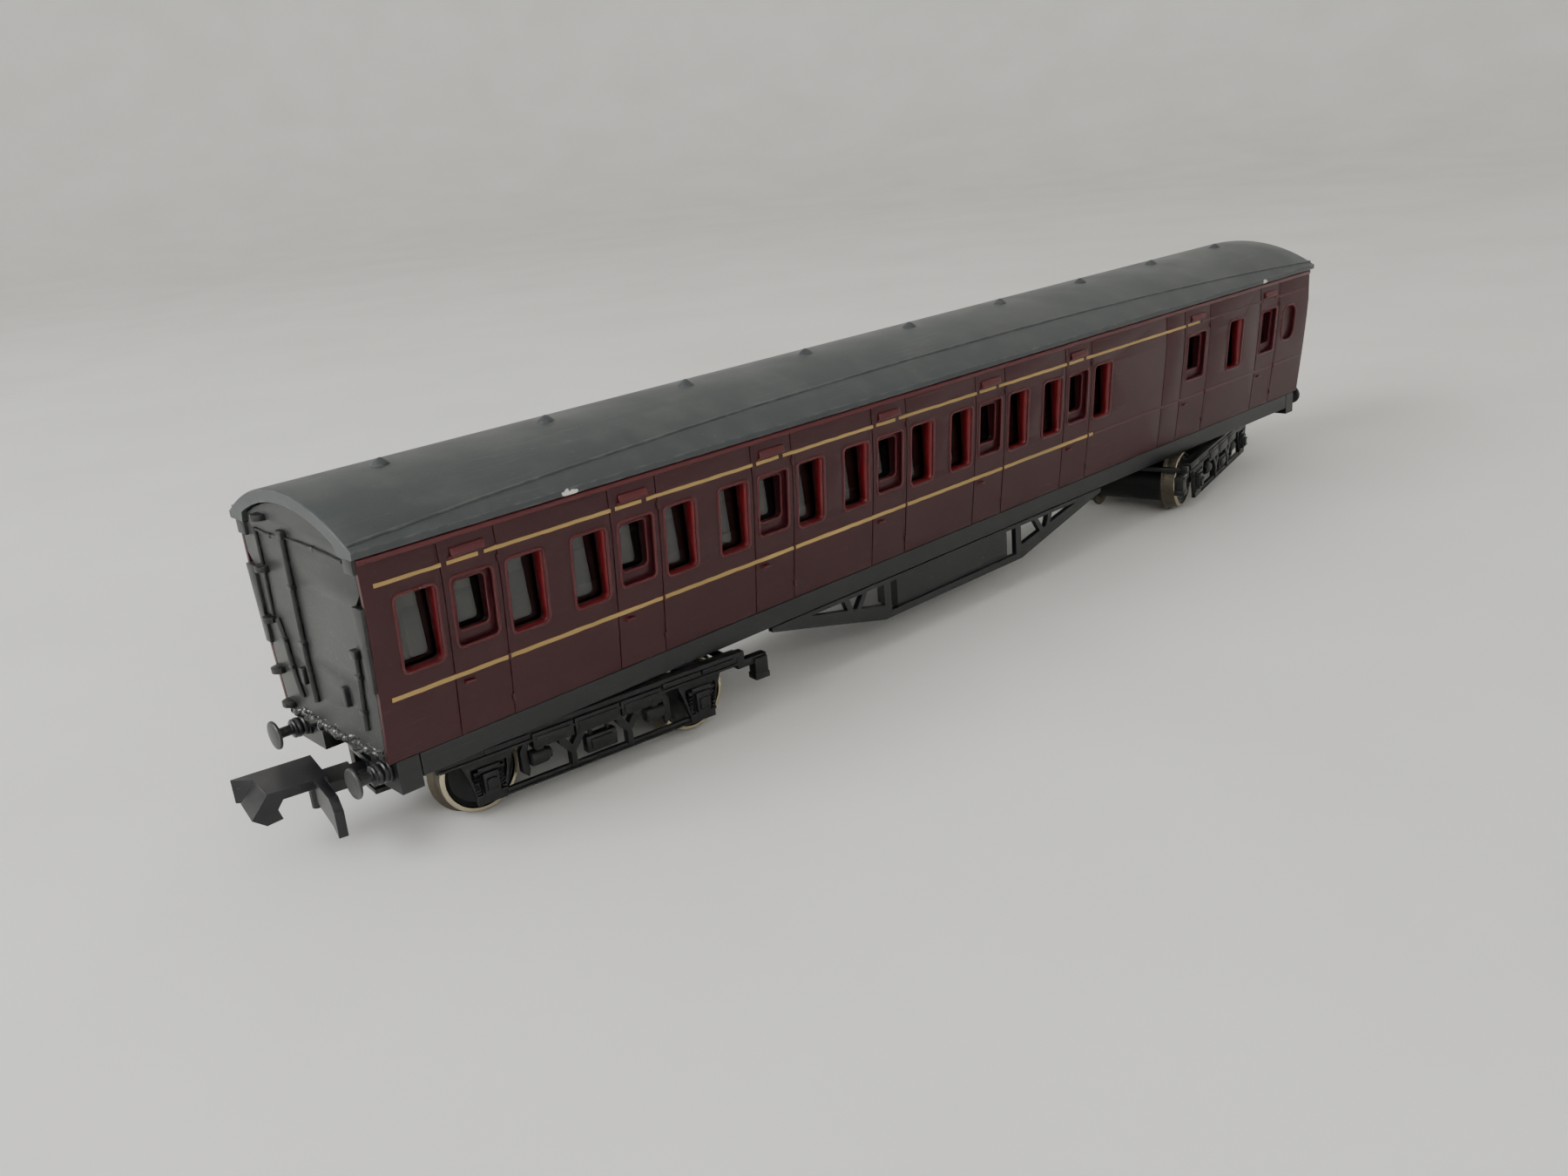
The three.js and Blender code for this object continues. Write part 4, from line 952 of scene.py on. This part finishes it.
def row_of(shape, count, start, step, turn, seed, material):
    """The plain mesh of a row of parts."""
    unit = linked("unit_part", shape.mesh("unit_part"))
    rows = unit.modifiers.new("row", "NODES")
    rows.node_group = ROW_TREE
    for label, value in (("Count", count), ("Start", [v * MM for v in start]),
                         ("Step", [v * MM for v in step]), ("Turn", turn), ("Seed", seed),
                         ("Finish", material)):
        rows[ROW_SOCKETS[label]] = value
    seen = unit.evaluated_get(bpy.context.evaluated_depsgraph_get())
    data = bpy.data.meshes.new_from_object(seen)
    unit.modifiers.clear()
    bpy.data.objects.remove(unit)
    data.materials.clear()
    return data


# ---------------------------------------------------------------- roof


def roof_shell():
    """The arched roof: an even shell with a gutter lip, round at its edges."""
    count = 72
    inner_half = 6.9
    lip = [(-ROOF_HALF_WIDTH + 0.28, EAVES_Z), (-ROOF_HALF_WIDTH + 0.08, EAVES_Z + 0.02),
           (-ROOF_HALF_WIDTH, EAVES_Z + 0.12), (-ROOF_HALF_WIDTH, EAVES_Z + 0.42)]
    across = [ROOF_HALF_WIDTH * (-1 + 2 * i / count) for i in range(count + 1)]
    arc = [(y, roof_z(y)) for y in across]
    outside = lip + arc + [(-y, z) for y, z in reversed(lip)]
    total = len(outside)
    inside = []
    for i in range(total):
        t = -1 + 2 * i / (total - 1)
        y = ROOF_HALF_WIDTH * t
        if abs(y) > inner_half:
            inside.append((y if abs(t) < 1 else y * 0.97, EAVES_Z))
        else:
            inside.append((y, roof_z(y, ROOF_THICKNESS)))

    def section(x, shrink):
        low = [(y * (1 - shrink / 30), z - shrink * (0.6 if z > EAVES_Z + 0.6 else 0.1)) for y, z in outside]
        return [(x, y, z) for y, z in low] + [(x, y, z) for y, z in reversed(inside)]

    start, rounding = -ROOF_HALF_LENGTH, 0.13
    stations = [(start, 0.12), (start + 0.04, 0.05), (start + rounding, 0.0)]
    stations += [(start + rounding + 2 * (ROOF_HALF_LENGTH - rounding) * i / 40, 0.0) for i in range(1, 40)]
    stations += [(-x, s) for x, s in reversed(stations[:3])]
    loops = [section(x, s) for x, s in stations]
    shell = rings(loops, capped=False)
    size = 2 * total
    for k, flip in ((0, True), (len(loops) - 1, False)):
        base = k * size
        for i in range(total - 1):
            face = (base + i, base + i + 1, base + size - 2 - i, base + size - 1 - i)
            shell.faces.append(tuple(reversed(face)) if flip else face)
            shell.finishes.append(0)
    return outward(shell)


def rain_strips():
    shape = Shape()
    for hand in (-1, 1):
        line = []
        for i in range(81):
            x = (ROOF_HALF_LENGTH - 0.08) * (-1 + i / 40)
            y = hand * (6.2 + 2.2 * (x / ROOF_HALF_LENGTH) ** 2)
            line.append((x, y, roof_z(y) - 0.02))
        shape.take(tube(line, 0.13, 10))
    return shape


def ventilator():
    """A turned ventilator: a low cone with a round tip."""
    return turned([(0.66, -0.32), (0.66, 0.0), (0.63, 0.06), (0.56, 0.13), (0.45, 0.23), (0.33, 0.33),
                   (0.22, 0.41), (0.11, 0.47), (0.0, 0.5)], "z", (0, 0, 0), 28)


# ---------------------------------------------------------------- ends


def end_panel(sign, steps, pipes, blocks):
    """An end: a flat panel under the arch, with its steps, pipes and clips."""
    edge = [FOOT_Z + (SIDE_TOP_Z - FOOT_Z) * i / 12 for i in range(13)]
    reach = END_SKIN + 0.08
    outline = [(skin_y(z, reach), z) for z in edge]
    half = 6.82
    outline.append((half, SIDE_TOP_Z))
    arch = [half - 2 * half * i / 24 for i in range(25)]
    outline += [(y, roof_z(y, ROOF_THICKNESS + 0.08)) for y in arch]
    outline.append((-half, SIDE_TOP_Z))
    outline += [(-y, z) for y, z in reversed(outline[:13])]
    made = pierced_plate(outline, (), 0.05)
    face = sign * HALF_LENGTH
    back = sign * (HALF_LENGTH - END_THICKNESS)
    panel = outward(read_back(made).moved(lambda p: (face + (back - face) * (0.5 - p.z), p.x, p.y)))
    fittings = Shape()
    for y, height in steps:
        z = WAIST_Z + height
        made = bmesh.new()
        tread = [(-0.2, -0.6), (-0.2, 0.6), (0.3, 0.56), (0.52, 0.47), (0.68, 0.3), (0.75, 0.0),
                 (0.68, -0.3), (0.52, -0.47), (0.3, -0.56)]
        plate = [made.verts.new((face + sign * a, y + b, z - 0.24)) for a, b in tread]
        flat = made.faces.new(plate)
        grown = bmesh.ops.extrude_face_region(made, geom=[flat])
        for v in grown["geom"]:
            if isinstance(v, bmesh.types.BMVert):
                v.co.z += 0.42
        bmesh.ops.bevel(made, geom=made.edges[:], offset=0.05, segments=2, profile=0.5, affect="EDGES")
        fittings.take(outward(read_back(made)))
    for radius, places in pipes:
        path = smooth_path([(face + sign * radius * 0.6, y, WAIST_Z + z) for y, z in places], 8)
        fittings.take(tube(path, radius, 12))
        for y, z in places[1:-1]:
            low = (face - sign * 0.1, y - radius * 1.5, WAIST_Z + z - 0.16)
            high = (face + sign * radius * 1.75, y + radius * 1.5, WAIST_Z + z + 0.16)
            fittings.take(rounded_block(low, high, 0.06))
    for proud, y0, y1, z0, z1 in blocks:
        low, high = (face - sign * 0.2, y0, WAIST_Z + z0), (face + sign * proud, y1, WAIST_Z + z1)
        fittings.take(rounded_block(low, high, 0.08))
    return lug_notches(panel).take(fittings, 1)


def lug_notches(shape):
    """Draws the panel's edge back round the side's lugs."""
    def clear(p):
        near = any(z0 - 0.1 < p.z < z1 + 0.1 for z0, z1 in LUGS)
        if near and abs(p.y) > WALL_INNER_Y - 0.1:
            return (p.x, math.copysign(WALL_INNER_Y - 0.08, p.y), p.z)
        return p
    return shape.moved(clear)


def glue_beads(sign):
    """Hardened glue where the end panel meets the beam."""
    shape = Shape()
    for row, (z, size) in enumerate(((7.95, 0.3), (8.35, 0.16))):
        path, radii = [], []
        for i in range(160):
            y = -7.0 + 13.2 * i / 159
            lump = noise.noise(Vector((y * 1.3, 4.2 * sign + row, 0)))
            lump += 0.5 * noise.noise(Vector((y * 4.1, 2, row)))
            path.append((sign * (HALF_LENGTH - 0.1), y, z + 0.3 * noise.noise(Vector((y * 1.1, 9, row)))))
            radii.append(max(0.02, size * (0.75 + 1.6 * lump)))
        shape.take(tube(path, radii, 12))
    return shape


# ---------------------------------------------------------------- running gear


def buffer_shape(sign, y):
    """A turned buffer: ribbed housing, shank and domed head."""
    housing = turned([(0.42, -0.9), (0.42, 0.04), (0.8, 0.06), (0.8, 0.16), (0.75, 0.2), (0.75, 0.42),
                      (0.68, 0.5), (0.62, 0.54), (0.68, 0.6), (0.72, 0.7), (0.72, 0.85), (0.66, 0.95),
                      (0.69, 1.02), (0.69, 1.1), (0.62, 1.18), (0.42, 1.24), (0.38, 1.3), (0.38, 2.1)],
                     "x", count=40)
    head = turned([(0.3, 2.05), (0.42, 2.12), (0.8, 2.2), (1.0, 2.28), (1.05, 2.34), (1.05, 2.46),
                   (1.0, 2.52), (0.85, 2.56), (0.5, 2.59), (0.0, 2.6)], "x", count=48)

    def on_beam(p):
        return (sign * (BEAM_FACE_X + p.x), y + p.y, BUFFER_Z + p.z)

    return Shape().take(outward(housing.moved(on_beam)), 0).take(outward(head.moved(on_beam)), 1)


def in_bogie(end):
    """The place of a bogie: its own coordinates to the coach's."""
    return (Matrix.Translation((END_SIGN[end] * PIVOT_X, 0, 0))
            @ Matrix.Rotation(math.radians(BOGIE_YAW[end]), 4, "Z"))


def side_plate(outline, holes, y0, y1, hand, edge=0.06):
    """A flat plate of (x, z) outline between two distances from the bogie's middle."""
    made = pierced_plate(outline, holes, edge)
    shape = read_back(made)
    return outward(shape.moved(lambda p: (p.x, hand * (y1 - (y1 - y0) * (0.5 - p.z)), p.y)))


def bogie_side(hand):
    """One side frame: pressed beam, axle guards with springs and boxes, brackets and tie bar."""
    shape = Shape()

    def block(x0, x1, y0, y1, z0, z1, edge=0.06):
        shape.take(rounded_block((x0, hand * y0, z0), (x1, hand * y1, z1), edge))

    block(-12.4, 12.4, 6.1, 6.85, 4.6, 5.7)
    block(-12.4, 12.4, 6.5, 7.15, 5.42, 5.75)
    block(-12.2, 12.2, 6.8, 7.0, 4.62, 4.82, 0.04)
    for x0, x1, z0 in ((-5.3, -2.05, 4.0), (-1.95, 1.75, 3.95), (1.85, 5.3, 4.0)):
        block(x0, x1, 6.2, 7.05, z0, 5.2, 0.08)
        block(x0 + 0.25, x1 - 0.25, 6.9, 7.14, z0 + 0.28, 4.92, 0.05)
    for x0, x1 in ((-11.9, -9.0), (-8.85, -5.5), (5.5, 8.85), (9.0, 11.9)):
        block(x0, x1, 6.8, 7.02, 4.92, 5.3, 0.04)
    block(-7.6, 7.6, 6.42, 6.8, 1.45, 1.82, 0.08)
    block(-7.6, 7.6, 6.3, 6.9, 1.36, 1.5, 0.04)
    for sign in (-1, 1):
        x = sign * HALF_WHEELBASE

        def spot(points):
            return [(x + sign * a, z) for a, z in points]

        guard = spot([(1.95, 4.75), (1.45, 3.4), (1.1, 1.75), (1.1, 1.3), (-1.1, 1.3), (-1.1, 1.75),
                      (-1.55, 3.4), (-2.0, 4.75)])
        slots = [spot([(0.98, 2.05), (0.66, 2.05), (0.66, 4.1), (1.35, 4.1), (1.3, 3.5)]),
                 spot([(-1.0, 2.05), (-0.66, 2.05), (-0.66, 4.1), (-1.4, 4.1), (-1.35, 3.5)])]
        shape.take(side_plate(guard, slots, 6.45, 6.85, hand))
        block(x - 0.62, x + 0.62, 6.2, 7.2, 2.1, 3.7, 0.16)
        block(x - 0.85, x + 0.85, 6.5, 7.05, 3.7, 4.1, 0.1)
        block(x - 0.42, x + 0.42, 7.1, 7.36, 2.35, 3.3, 0.12)
        for off in (-0.92, 0.92):
            shape.take(helix((x + off, hand * 6.78), 0.18, 2.05, 3.7, 6, 0.05))
            block(x + off - 0.24, x + off + 0.24, 6.5, 6.98, 1.88, 2.06, 0.05)
            block(x + off - 0.24, x + off + 0.24, 6.5, 6.98, 3.68, 3.86, 0.05)
        for bolt in (-0.28, 0.28):
            for z in (2.45, 3.2):
                shape.take(turned([(0.0, hand * 0.08), (0.07, hand * 0.07), (0.09, 0.0)], "y",
                                  (x + bolt, hand * 7.34, z), 8))
        fork = [(sign * a, z) for a, z in ((2.1, 1.6), (2.55, 1.6), (2.55, 2.75), (3.35, 3.75), (3.35, 4.1),
                                           (2.9, 4.1), (2.33, 3.3), (1.75, 4.1), (1.3, 4.1), (1.3, 3.75),
                                           (2.1, 2.75))]
        shape.take(side_plate(fork, (), 6.3, 6.98, hand, 0.07))
        barrel = [(0.0, -0.85), (0.45, -0.82), (0.58, -0.7), (0.6, -0.3), (0.6, 0.45), (0.52, 0.62),
                  (0.42, 0.66), (0.42, 0.85), (0.0, 0.85)]
        shape.take(turned(barrel, "x", (sign * 4.75, hand * 6.45, 3.2), 24))
        block(sign * 4.4, sign * 5.05, 6.2, 6.75, 3.6, 4.7, 0.08)
        shoe = [(sign * a, z) for a, z in ((5.7, 1.9), (6.15, 2.3), (6.15, 3.9), (5.75, 4.6), (5.35, 4.6),
                                           (5.6, 3.8), (5.55, 2.4))]
        shape.take(side_plate(shoe, (), 5.9, 6.5, hand, 0.07))
    block(-1.25, 1.25, 6.25, 7.02, 2.15, 3.45, 0.12)
    block(-0.9, 0.9, 6.9, 7.16, 2.4, 3.2, 0.08)
    for x in (-0.7, 0.7):
        shape.take(tube([(x, hand * 6.6, 3.4), (x, hand * 6.6, 4.1)], 0.16, 10))
    block(12.25, 12.95, 6.15, 6.9, 4.25, 5.62)
    block(12.7, 15.0, 6.15, 6.9, 4.25, 4.88, 0.08)
    block(13.75, 14.95, 6.15, 7.1, 3.3, 4.7, 0.08)
    block(13.65, 15.0, 6.1, 7.18, 2.92, 3.45, 0.1)
    return shape


def bogie_frame():
    """The two side frames, bolster, end bars and the coupler's pocket."""
    shape = Shape().take(bogie_side(-1)).take(bogie_side(1))
    for x0, x1, y0, y1, z0, z1 in (
            (-3.5, 3.5, -6.25, 6.25, 4.62, 5.74), (-12.38, -11.9, -6.25, 6.25, 4.62, 5.12),
            (11.9, 12.38, -6.25, 6.25, 4.62, 5.12), (-15.18, -12.0, -2.15, 2.15, 4.66, 5.14),
            (-15.18, -12.0, 1.75, 2.15, 3.06, 4.75), (-15.18, -12.0, -2.15, -1.75, 3.06, 4.75),
            (-15.18, -14.8, 1.15, 2.15, 3.06, 4.75), (-15.18, -14.8, -2.15, -1.15, 3.06, 4.75),
            (-12.5, -12.0, -2.15, 2.15, 3.06, 4.75)):
        shape.take(rounded_block((x0, y0, z0), (x1, y1, z1), 0.08))
    for x in (-2.9, 2.9):
        for y in (-4.5, -2.2, 2.2, 4.5):
            shape.take(turned([(0.3, 4.5), (0.3, 4.64)], "z", (x, y, 0), 12))
    return shape


def wheel_shapes():
    """A tyre with its flange and tread, and the moulded axle with its drum and discs."""
    tyre = turned([(2.62, 3.77), (2.62, 3.75), (3.18, 3.75), (3.31, 3.79), (3.35, 3.85), (3.33, 3.92),
                   (3.2, 4.0), (3.04, 4.08), (2.99, 4.16), (2.97, 4.3), (2.94, 5.1), (2.9, 5.2),
                   (2.82, 5.25), (2.62, 5.25), (2.62, 3.77)], "y", count=96)
    # The tread faces take the second finish, a darker colour that is painted shade for the shadow under the frame.
    for i, face in enumerate(tyre.faces):
        ends = [tyre.points[k] for k in face]
        if all(p.y < 5.16 and math.hypot(p.x, p.z) > 2.9 for p in ends):
            tyre.finishes[i] = 1
    half = [(2.4, 3.55), (2.57, 3.75), (2.57, 5.1), (2.5, 5.16), (2.38, 5.1), (2.25, 4.98), (1.1, 4.92),
            (0.95, 4.98), (0.9, 5.2), (0.78, 5.34), (0.42, 5.36), (0.42, 5.84), (0.3, 6.05), (0.02, 6.42)]
    axle = turned([(r, -d) for r, d in reversed(half)] + half, "y", count=64)
    return tyre, axle


# ---------------------------------------------------------------- the coach put together

BODY = "coach_body"
right = side_panel()
beads = window_frames()
reveals = window_reveals()
gold, faint = lining()
hoods = bonnets()
handles = door_handles()
hinge_row = turned([(0.0, -0.26), (0.1, -0.24), (0.12, -0.18), (0.12, 0.18), (0.1, 0.24), (0.0, 0.26)],
                   "z", count=10)
for side, hand in (("right", -1), ("left", 1)):
    def handed(shape):
        return shape if hand < 0 else shape.mirrored_y()
    placed(f"{side}_side_moulding", handed(right), BODY, "maroon", [MAROON, END_BLACK], [f"{side}_side"])
    # Beads, bonnets and handles take the lighter crimson: a painted highlight on raised maroon parts.
    placed(f"{side}_window_beads", handed(beads), BODY, "maroon", MAROON_PAINTED_HIGHLIGHT)
    # The reveals take the brighter crimson: painted light glowing through the walls of the openings.
    reveal = placed(f"{side}_window_reveals", handed(reveals), BODY, "maroon", REVEAL_PAINTED_GLOW)
    thick = reveal.modifiers.new("wall", "SOLIDIFY")
    thick.thickness = 0.03 * MM
    placed(f"{side}_gold_lining", handed(gold), BODY, "maroon", GOLD)
    placed(f"{side}_faint_lining", handed(faint), BODY, "maroon", FADED_LINING)
    placed(f"{side}_bonnets", handed(hoods), BODY, "maroon", MAROON_PAINTED_HIGHLIGHT)
    placed(f"{side}_door_handles", handed(handles), BODY, "maroon", MAROON_PAINTED_HIGHLIGHT)
    for level, z in enumerate((9.0, WAIST_Z + 0.02, 19.0)):
        y = hand * (skin_y(z) + 0.02)
        start = (FIRST_DOOR_X + HINGE_OFFSET, y, z)
        data = row_of(hinge_row, 6, start, (PITCH, 0, 0), 0.1, 5 + level, MAROON)
        placed(f"{side}_hinges_{level}", data, BODY, "maroon", MAROON)
        for place, x in (("van", VAN_DOOR[0] + 2.45), ("guard", GUARD_DOOR[0] + HINGE_OFFSET)):
            data = row_of(hinge_row, 1, (x, y, z), (PITCH, 0, 0), 0.1, 9 + level, MAROON)
            placed(f"{side}_{place}_hinge_{level}", data, BODY, "maroon", MAROON)
    nodes[f"{side}_glazing"].data.materials.clear()
    nodes[f"{side}_glazing"].data.materials.append(CLEAR)

placed("roof_shell", roof_shell(), BODY, "roof_grey", ROOF_GREY, ["roof"])
placed("rain_strips", rain_strips(), BODY, "roof_grey", ROOF_GREY)
first_vent = (FIRST_DOOR_X - 0.5, 0, ROOF_CREST_Z - 0.03)
placed("roof_ventilators", row_of(ventilator(), 9, first_vent, (PITCH, 0, 0), 0.4, 3, ROOF_GREY),
       BODY, "roof_grey", ROOF_GREY)

placed("compartment_end_panel", end_panel(
    -1, [(4.3, 10.4), (5.6, 6.6), (6.3, 2.8), (6.9, -1.1), (6.3, -3.5)],
    [(0.22, [(1.3, 9.7), (1.45, 6), (1.6, 2), (1.5, -2.2)]),
     (0.2, [(5.2, 3.0), (4.7, 1.6), (4.4, -0.3), (3.8, -2.5)]),
     (0.14, [(5.7, 9.4), (5.7, 6.5), (5.9, 3.1)]),
     (0.11, [(5.7, 9.3), (3.4, 9.2), (1.4, 9.4), (-3.0, 9.4), (-6.9, 9.2)]),
     (0.2, [(-6.3, 3.1), (-6.1, 1.5), (-5.7, -1.0), (-5.6, -2.3)])],
    [(0.4, 0.9, 1.75, 9.3, 9.9), (0.45, 2.2, 2.7, -1.1, 0.1), (0.45, -6.7, -5.95, 2.8, 3.4),
     (0.35, -3.75, -3.2, -1.2, 0.15)]), BODY, "end_grey", [END_GREY, END_BLACK], ["compartment_end"])
placed("luggage_end_panel", end_panel(
    1, [(5.6, 6.6), (6.3, 2.8), (6.9, -1.1)], [(0.22, [(-1.3, 9.7), (-1.45, 6), (-1.6, 2), (-1.5, -2.2)])],
    [(0.4, -1.75, -0.9, 9.3, 9.9), (0.35, 3.2, 3.75, -1.2, 0.15)]), BODY, "end_grey", [END_GREY, END_BLACK],
       ["luggage_end"])
placed("compartment_end_glue", glue_beads(-1), BODY, "end_grey", GLUE)

softened("ballast_weight", "steel", STEEL, 0.12)
softened("underframe", "chassis_black", CHASSIS_BLACK, 0.06)
for side in ("left", "right"):
    softened(f"{side}_truss", "chassis_black", CHASSIS_BLACK, 0.05)

frame_moulding = bogie_frame()
tyre, axle = wheel_shapes()
for end in ("near", "far"):
    sign = END_SIGN[end]
    softened(f"{end}_buffer_beam", "chassis_black", CHASSIS_BLACK, 0.07)
    for side, hand in (("left", 1), ("right", -1)):
        placed(f"{end}_{side}_buffer_turned", buffer_shape(sign, hand * BUFFER_Y), BODY, "chassis_black",
               [CHASSIS_BLACK, HEAD_GREY], [f"{end}_{side}_buffer"])
    rivet = turned([(0.0, 3.78), (0.9, 3.84), (1.35, 4.0), (1.5, 4.2), (1.5, 4.48), (0.8, 4.5), (0.8, 8.33),
                    (1.2, 8.34), (1.1, 8.6), (0.0, 8.72)], "z", (sign * PIVOT_X, 0, 0), 40)
    placed(f"{end}_pivot_rivet", rivet, BODY, "steel", STEEL, [f"{end}_bogie_rivet"])

    place = in_bogie(end)
    placed(f"{end}_bogie_moulding", Shape().take(frame_moulding).moved(place), f"{end}_bogie", "bogie_black",
           BOGIE_BLACK, [f"{end}_bogie_frame"])
    softened(f"{end}_coupler_keeper", "bogie_black", BOGIE_BLACK, 0.07)
    softened(f"{end}_coupler", "coupler_black", COUPLER_BLACK, 0.08)
    for axis_name, along in (("outer", -1), ("inner", 1)):
        here = place @ Matrix.Translation((along * HALF_WHEELBASE, 0, AXLE_Z))
        body = f"{end}_{axis_name}_wheelset"
        placed(f"{end}_{axis_name}_axle_moulding", Shape().take(axle).moved(here), body, "bogie_black",
               BOGIE_BLACK, [f"{end}_{axis_name}_axle"])
        placed(f"{end}_{axis_name}_left_tyre_turned", Shape().take(tyre).moved(here), body, "nickel",
               [NICKEL, TREAD_PAINTED_SHADE], [f"{end}_{axis_name}_left_tyre"])
        placed(f"{end}_{axis_name}_right_tyre_turned", tyre.mirrored_y().moved(here), body, "nickel",
               [NICKEL, TREAD_PAINTED_SHADE], [f"{end}_{axis_name}_right_tyre"])
    spring_node = nodes[f"{end}_coupler_spring"]
    spring_node.data.materials.clear()
    spring_node.data.materials.append(STEEL)


# ---------------------------------------------------------------- floor, light and camera


def studio():
    floor = turned([(0.0, -0.42), (150.0, -0.42), (480.0, -0.42), (560.0, 3.0), (640.0, 22.0), (700.0, 60.0),
                    (740.0, 120.0), (755.0, 220.0), (760.0, 420.0)], "z", count=96)
    flat = floor.mesh("floor")
    flat.flip_normals()
    flat.polygons.foreach_set("use_smooth", [True] * len(flat.polygons))
    floor = linked("floor", flat)
    material = bpy.data.materials.new("pale_card")
    material.use_nodes = True
    tree = material.node_tree
    shader = tree.nodes["Principled BSDF"]
    shader.inputs["Roughness"].default_value = 0.85
    cloud = spread(tree, speckle(tree, object_place(tree), 30.0, 6), 0.3, 0.7)
    card = blended(tree, cloud, colour(224, 223, 219), colour(232, 231, 228))
    tree.links.new(card, shader.inputs["Base Color"])
    floor.data.materials.append(material)
    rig.stage(floor)

    world = bpy.data.worlds.new("studio")
    world.use_nodes = True
    world.node_tree.nodes["Background"].inputs["Color"].default_value = (0.93, 0.96, 1.0, 1)
    world.node_tree.nodes["Background"].inputs["Strength"].default_value = 1.0
    bpy.context.scene.world = world

    def soft_light(name, place, target, size, power, tint):
        data = bpy.data.lights.new(name, "AREA")
        data.shape = "RECTANGLE"
        data.size, data.size_y = size
        data.energy = power
        data.color = tint
        light = linked(name, data)
        light.location = place
        light.rotation_euler = (Vector(target) - Vector(place)).to_track_quat("-Z", "Y").to_euler()

    soft_light("overhead", (0.02, 0.22, 0.5), (0, 0, 0.01), (0.5, 0.35), 9.2, (1, 0.99, 0.97))
    soft_light("left_window", (-0.5, 0.1, 0.3), (-0.02, 0, 0.01), (0.35, 0.35), 3.6, (0.97, 0.98, 1))
    soft_light("front_fill", (-0.25, -0.55, 0.35), (0, 0, 0.01), (0.5, 0.35), 2.0, (1, 1, 1))


def set_camera():
    forward = Vector((0.626201, 0.704866, -0.333221)).normalized()
    across = Vector((0.722638, -0.685166, -0.091333)).normalized()
    upward = across.cross(forward).normalized()
    across = forward.cross(upward).normalized()
    data = bpy.data.cameras.new("camera")
    data.sensor_width = 36
    data.lens = 31.2442
    data.clip_start = 0.001
    camera = linked("camera", data)
    turn = Matrix((across, upward, -forward)).transposed().to_4x4()
    camera.matrix_world = Matrix.Translation((-0.09119, -0.082942, 0.044529)) @ turn
    bpy.context.scene.camera = camera


studio()
set_camera()

visual_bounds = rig.bounds()
with open("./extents.json", "w") as report:
    json.dump({"cad": [list(map(float, corner)) for corner in cad_bounds],
               "visual": [list(map(float, corner)) for corner in visual_bounds]}, report)
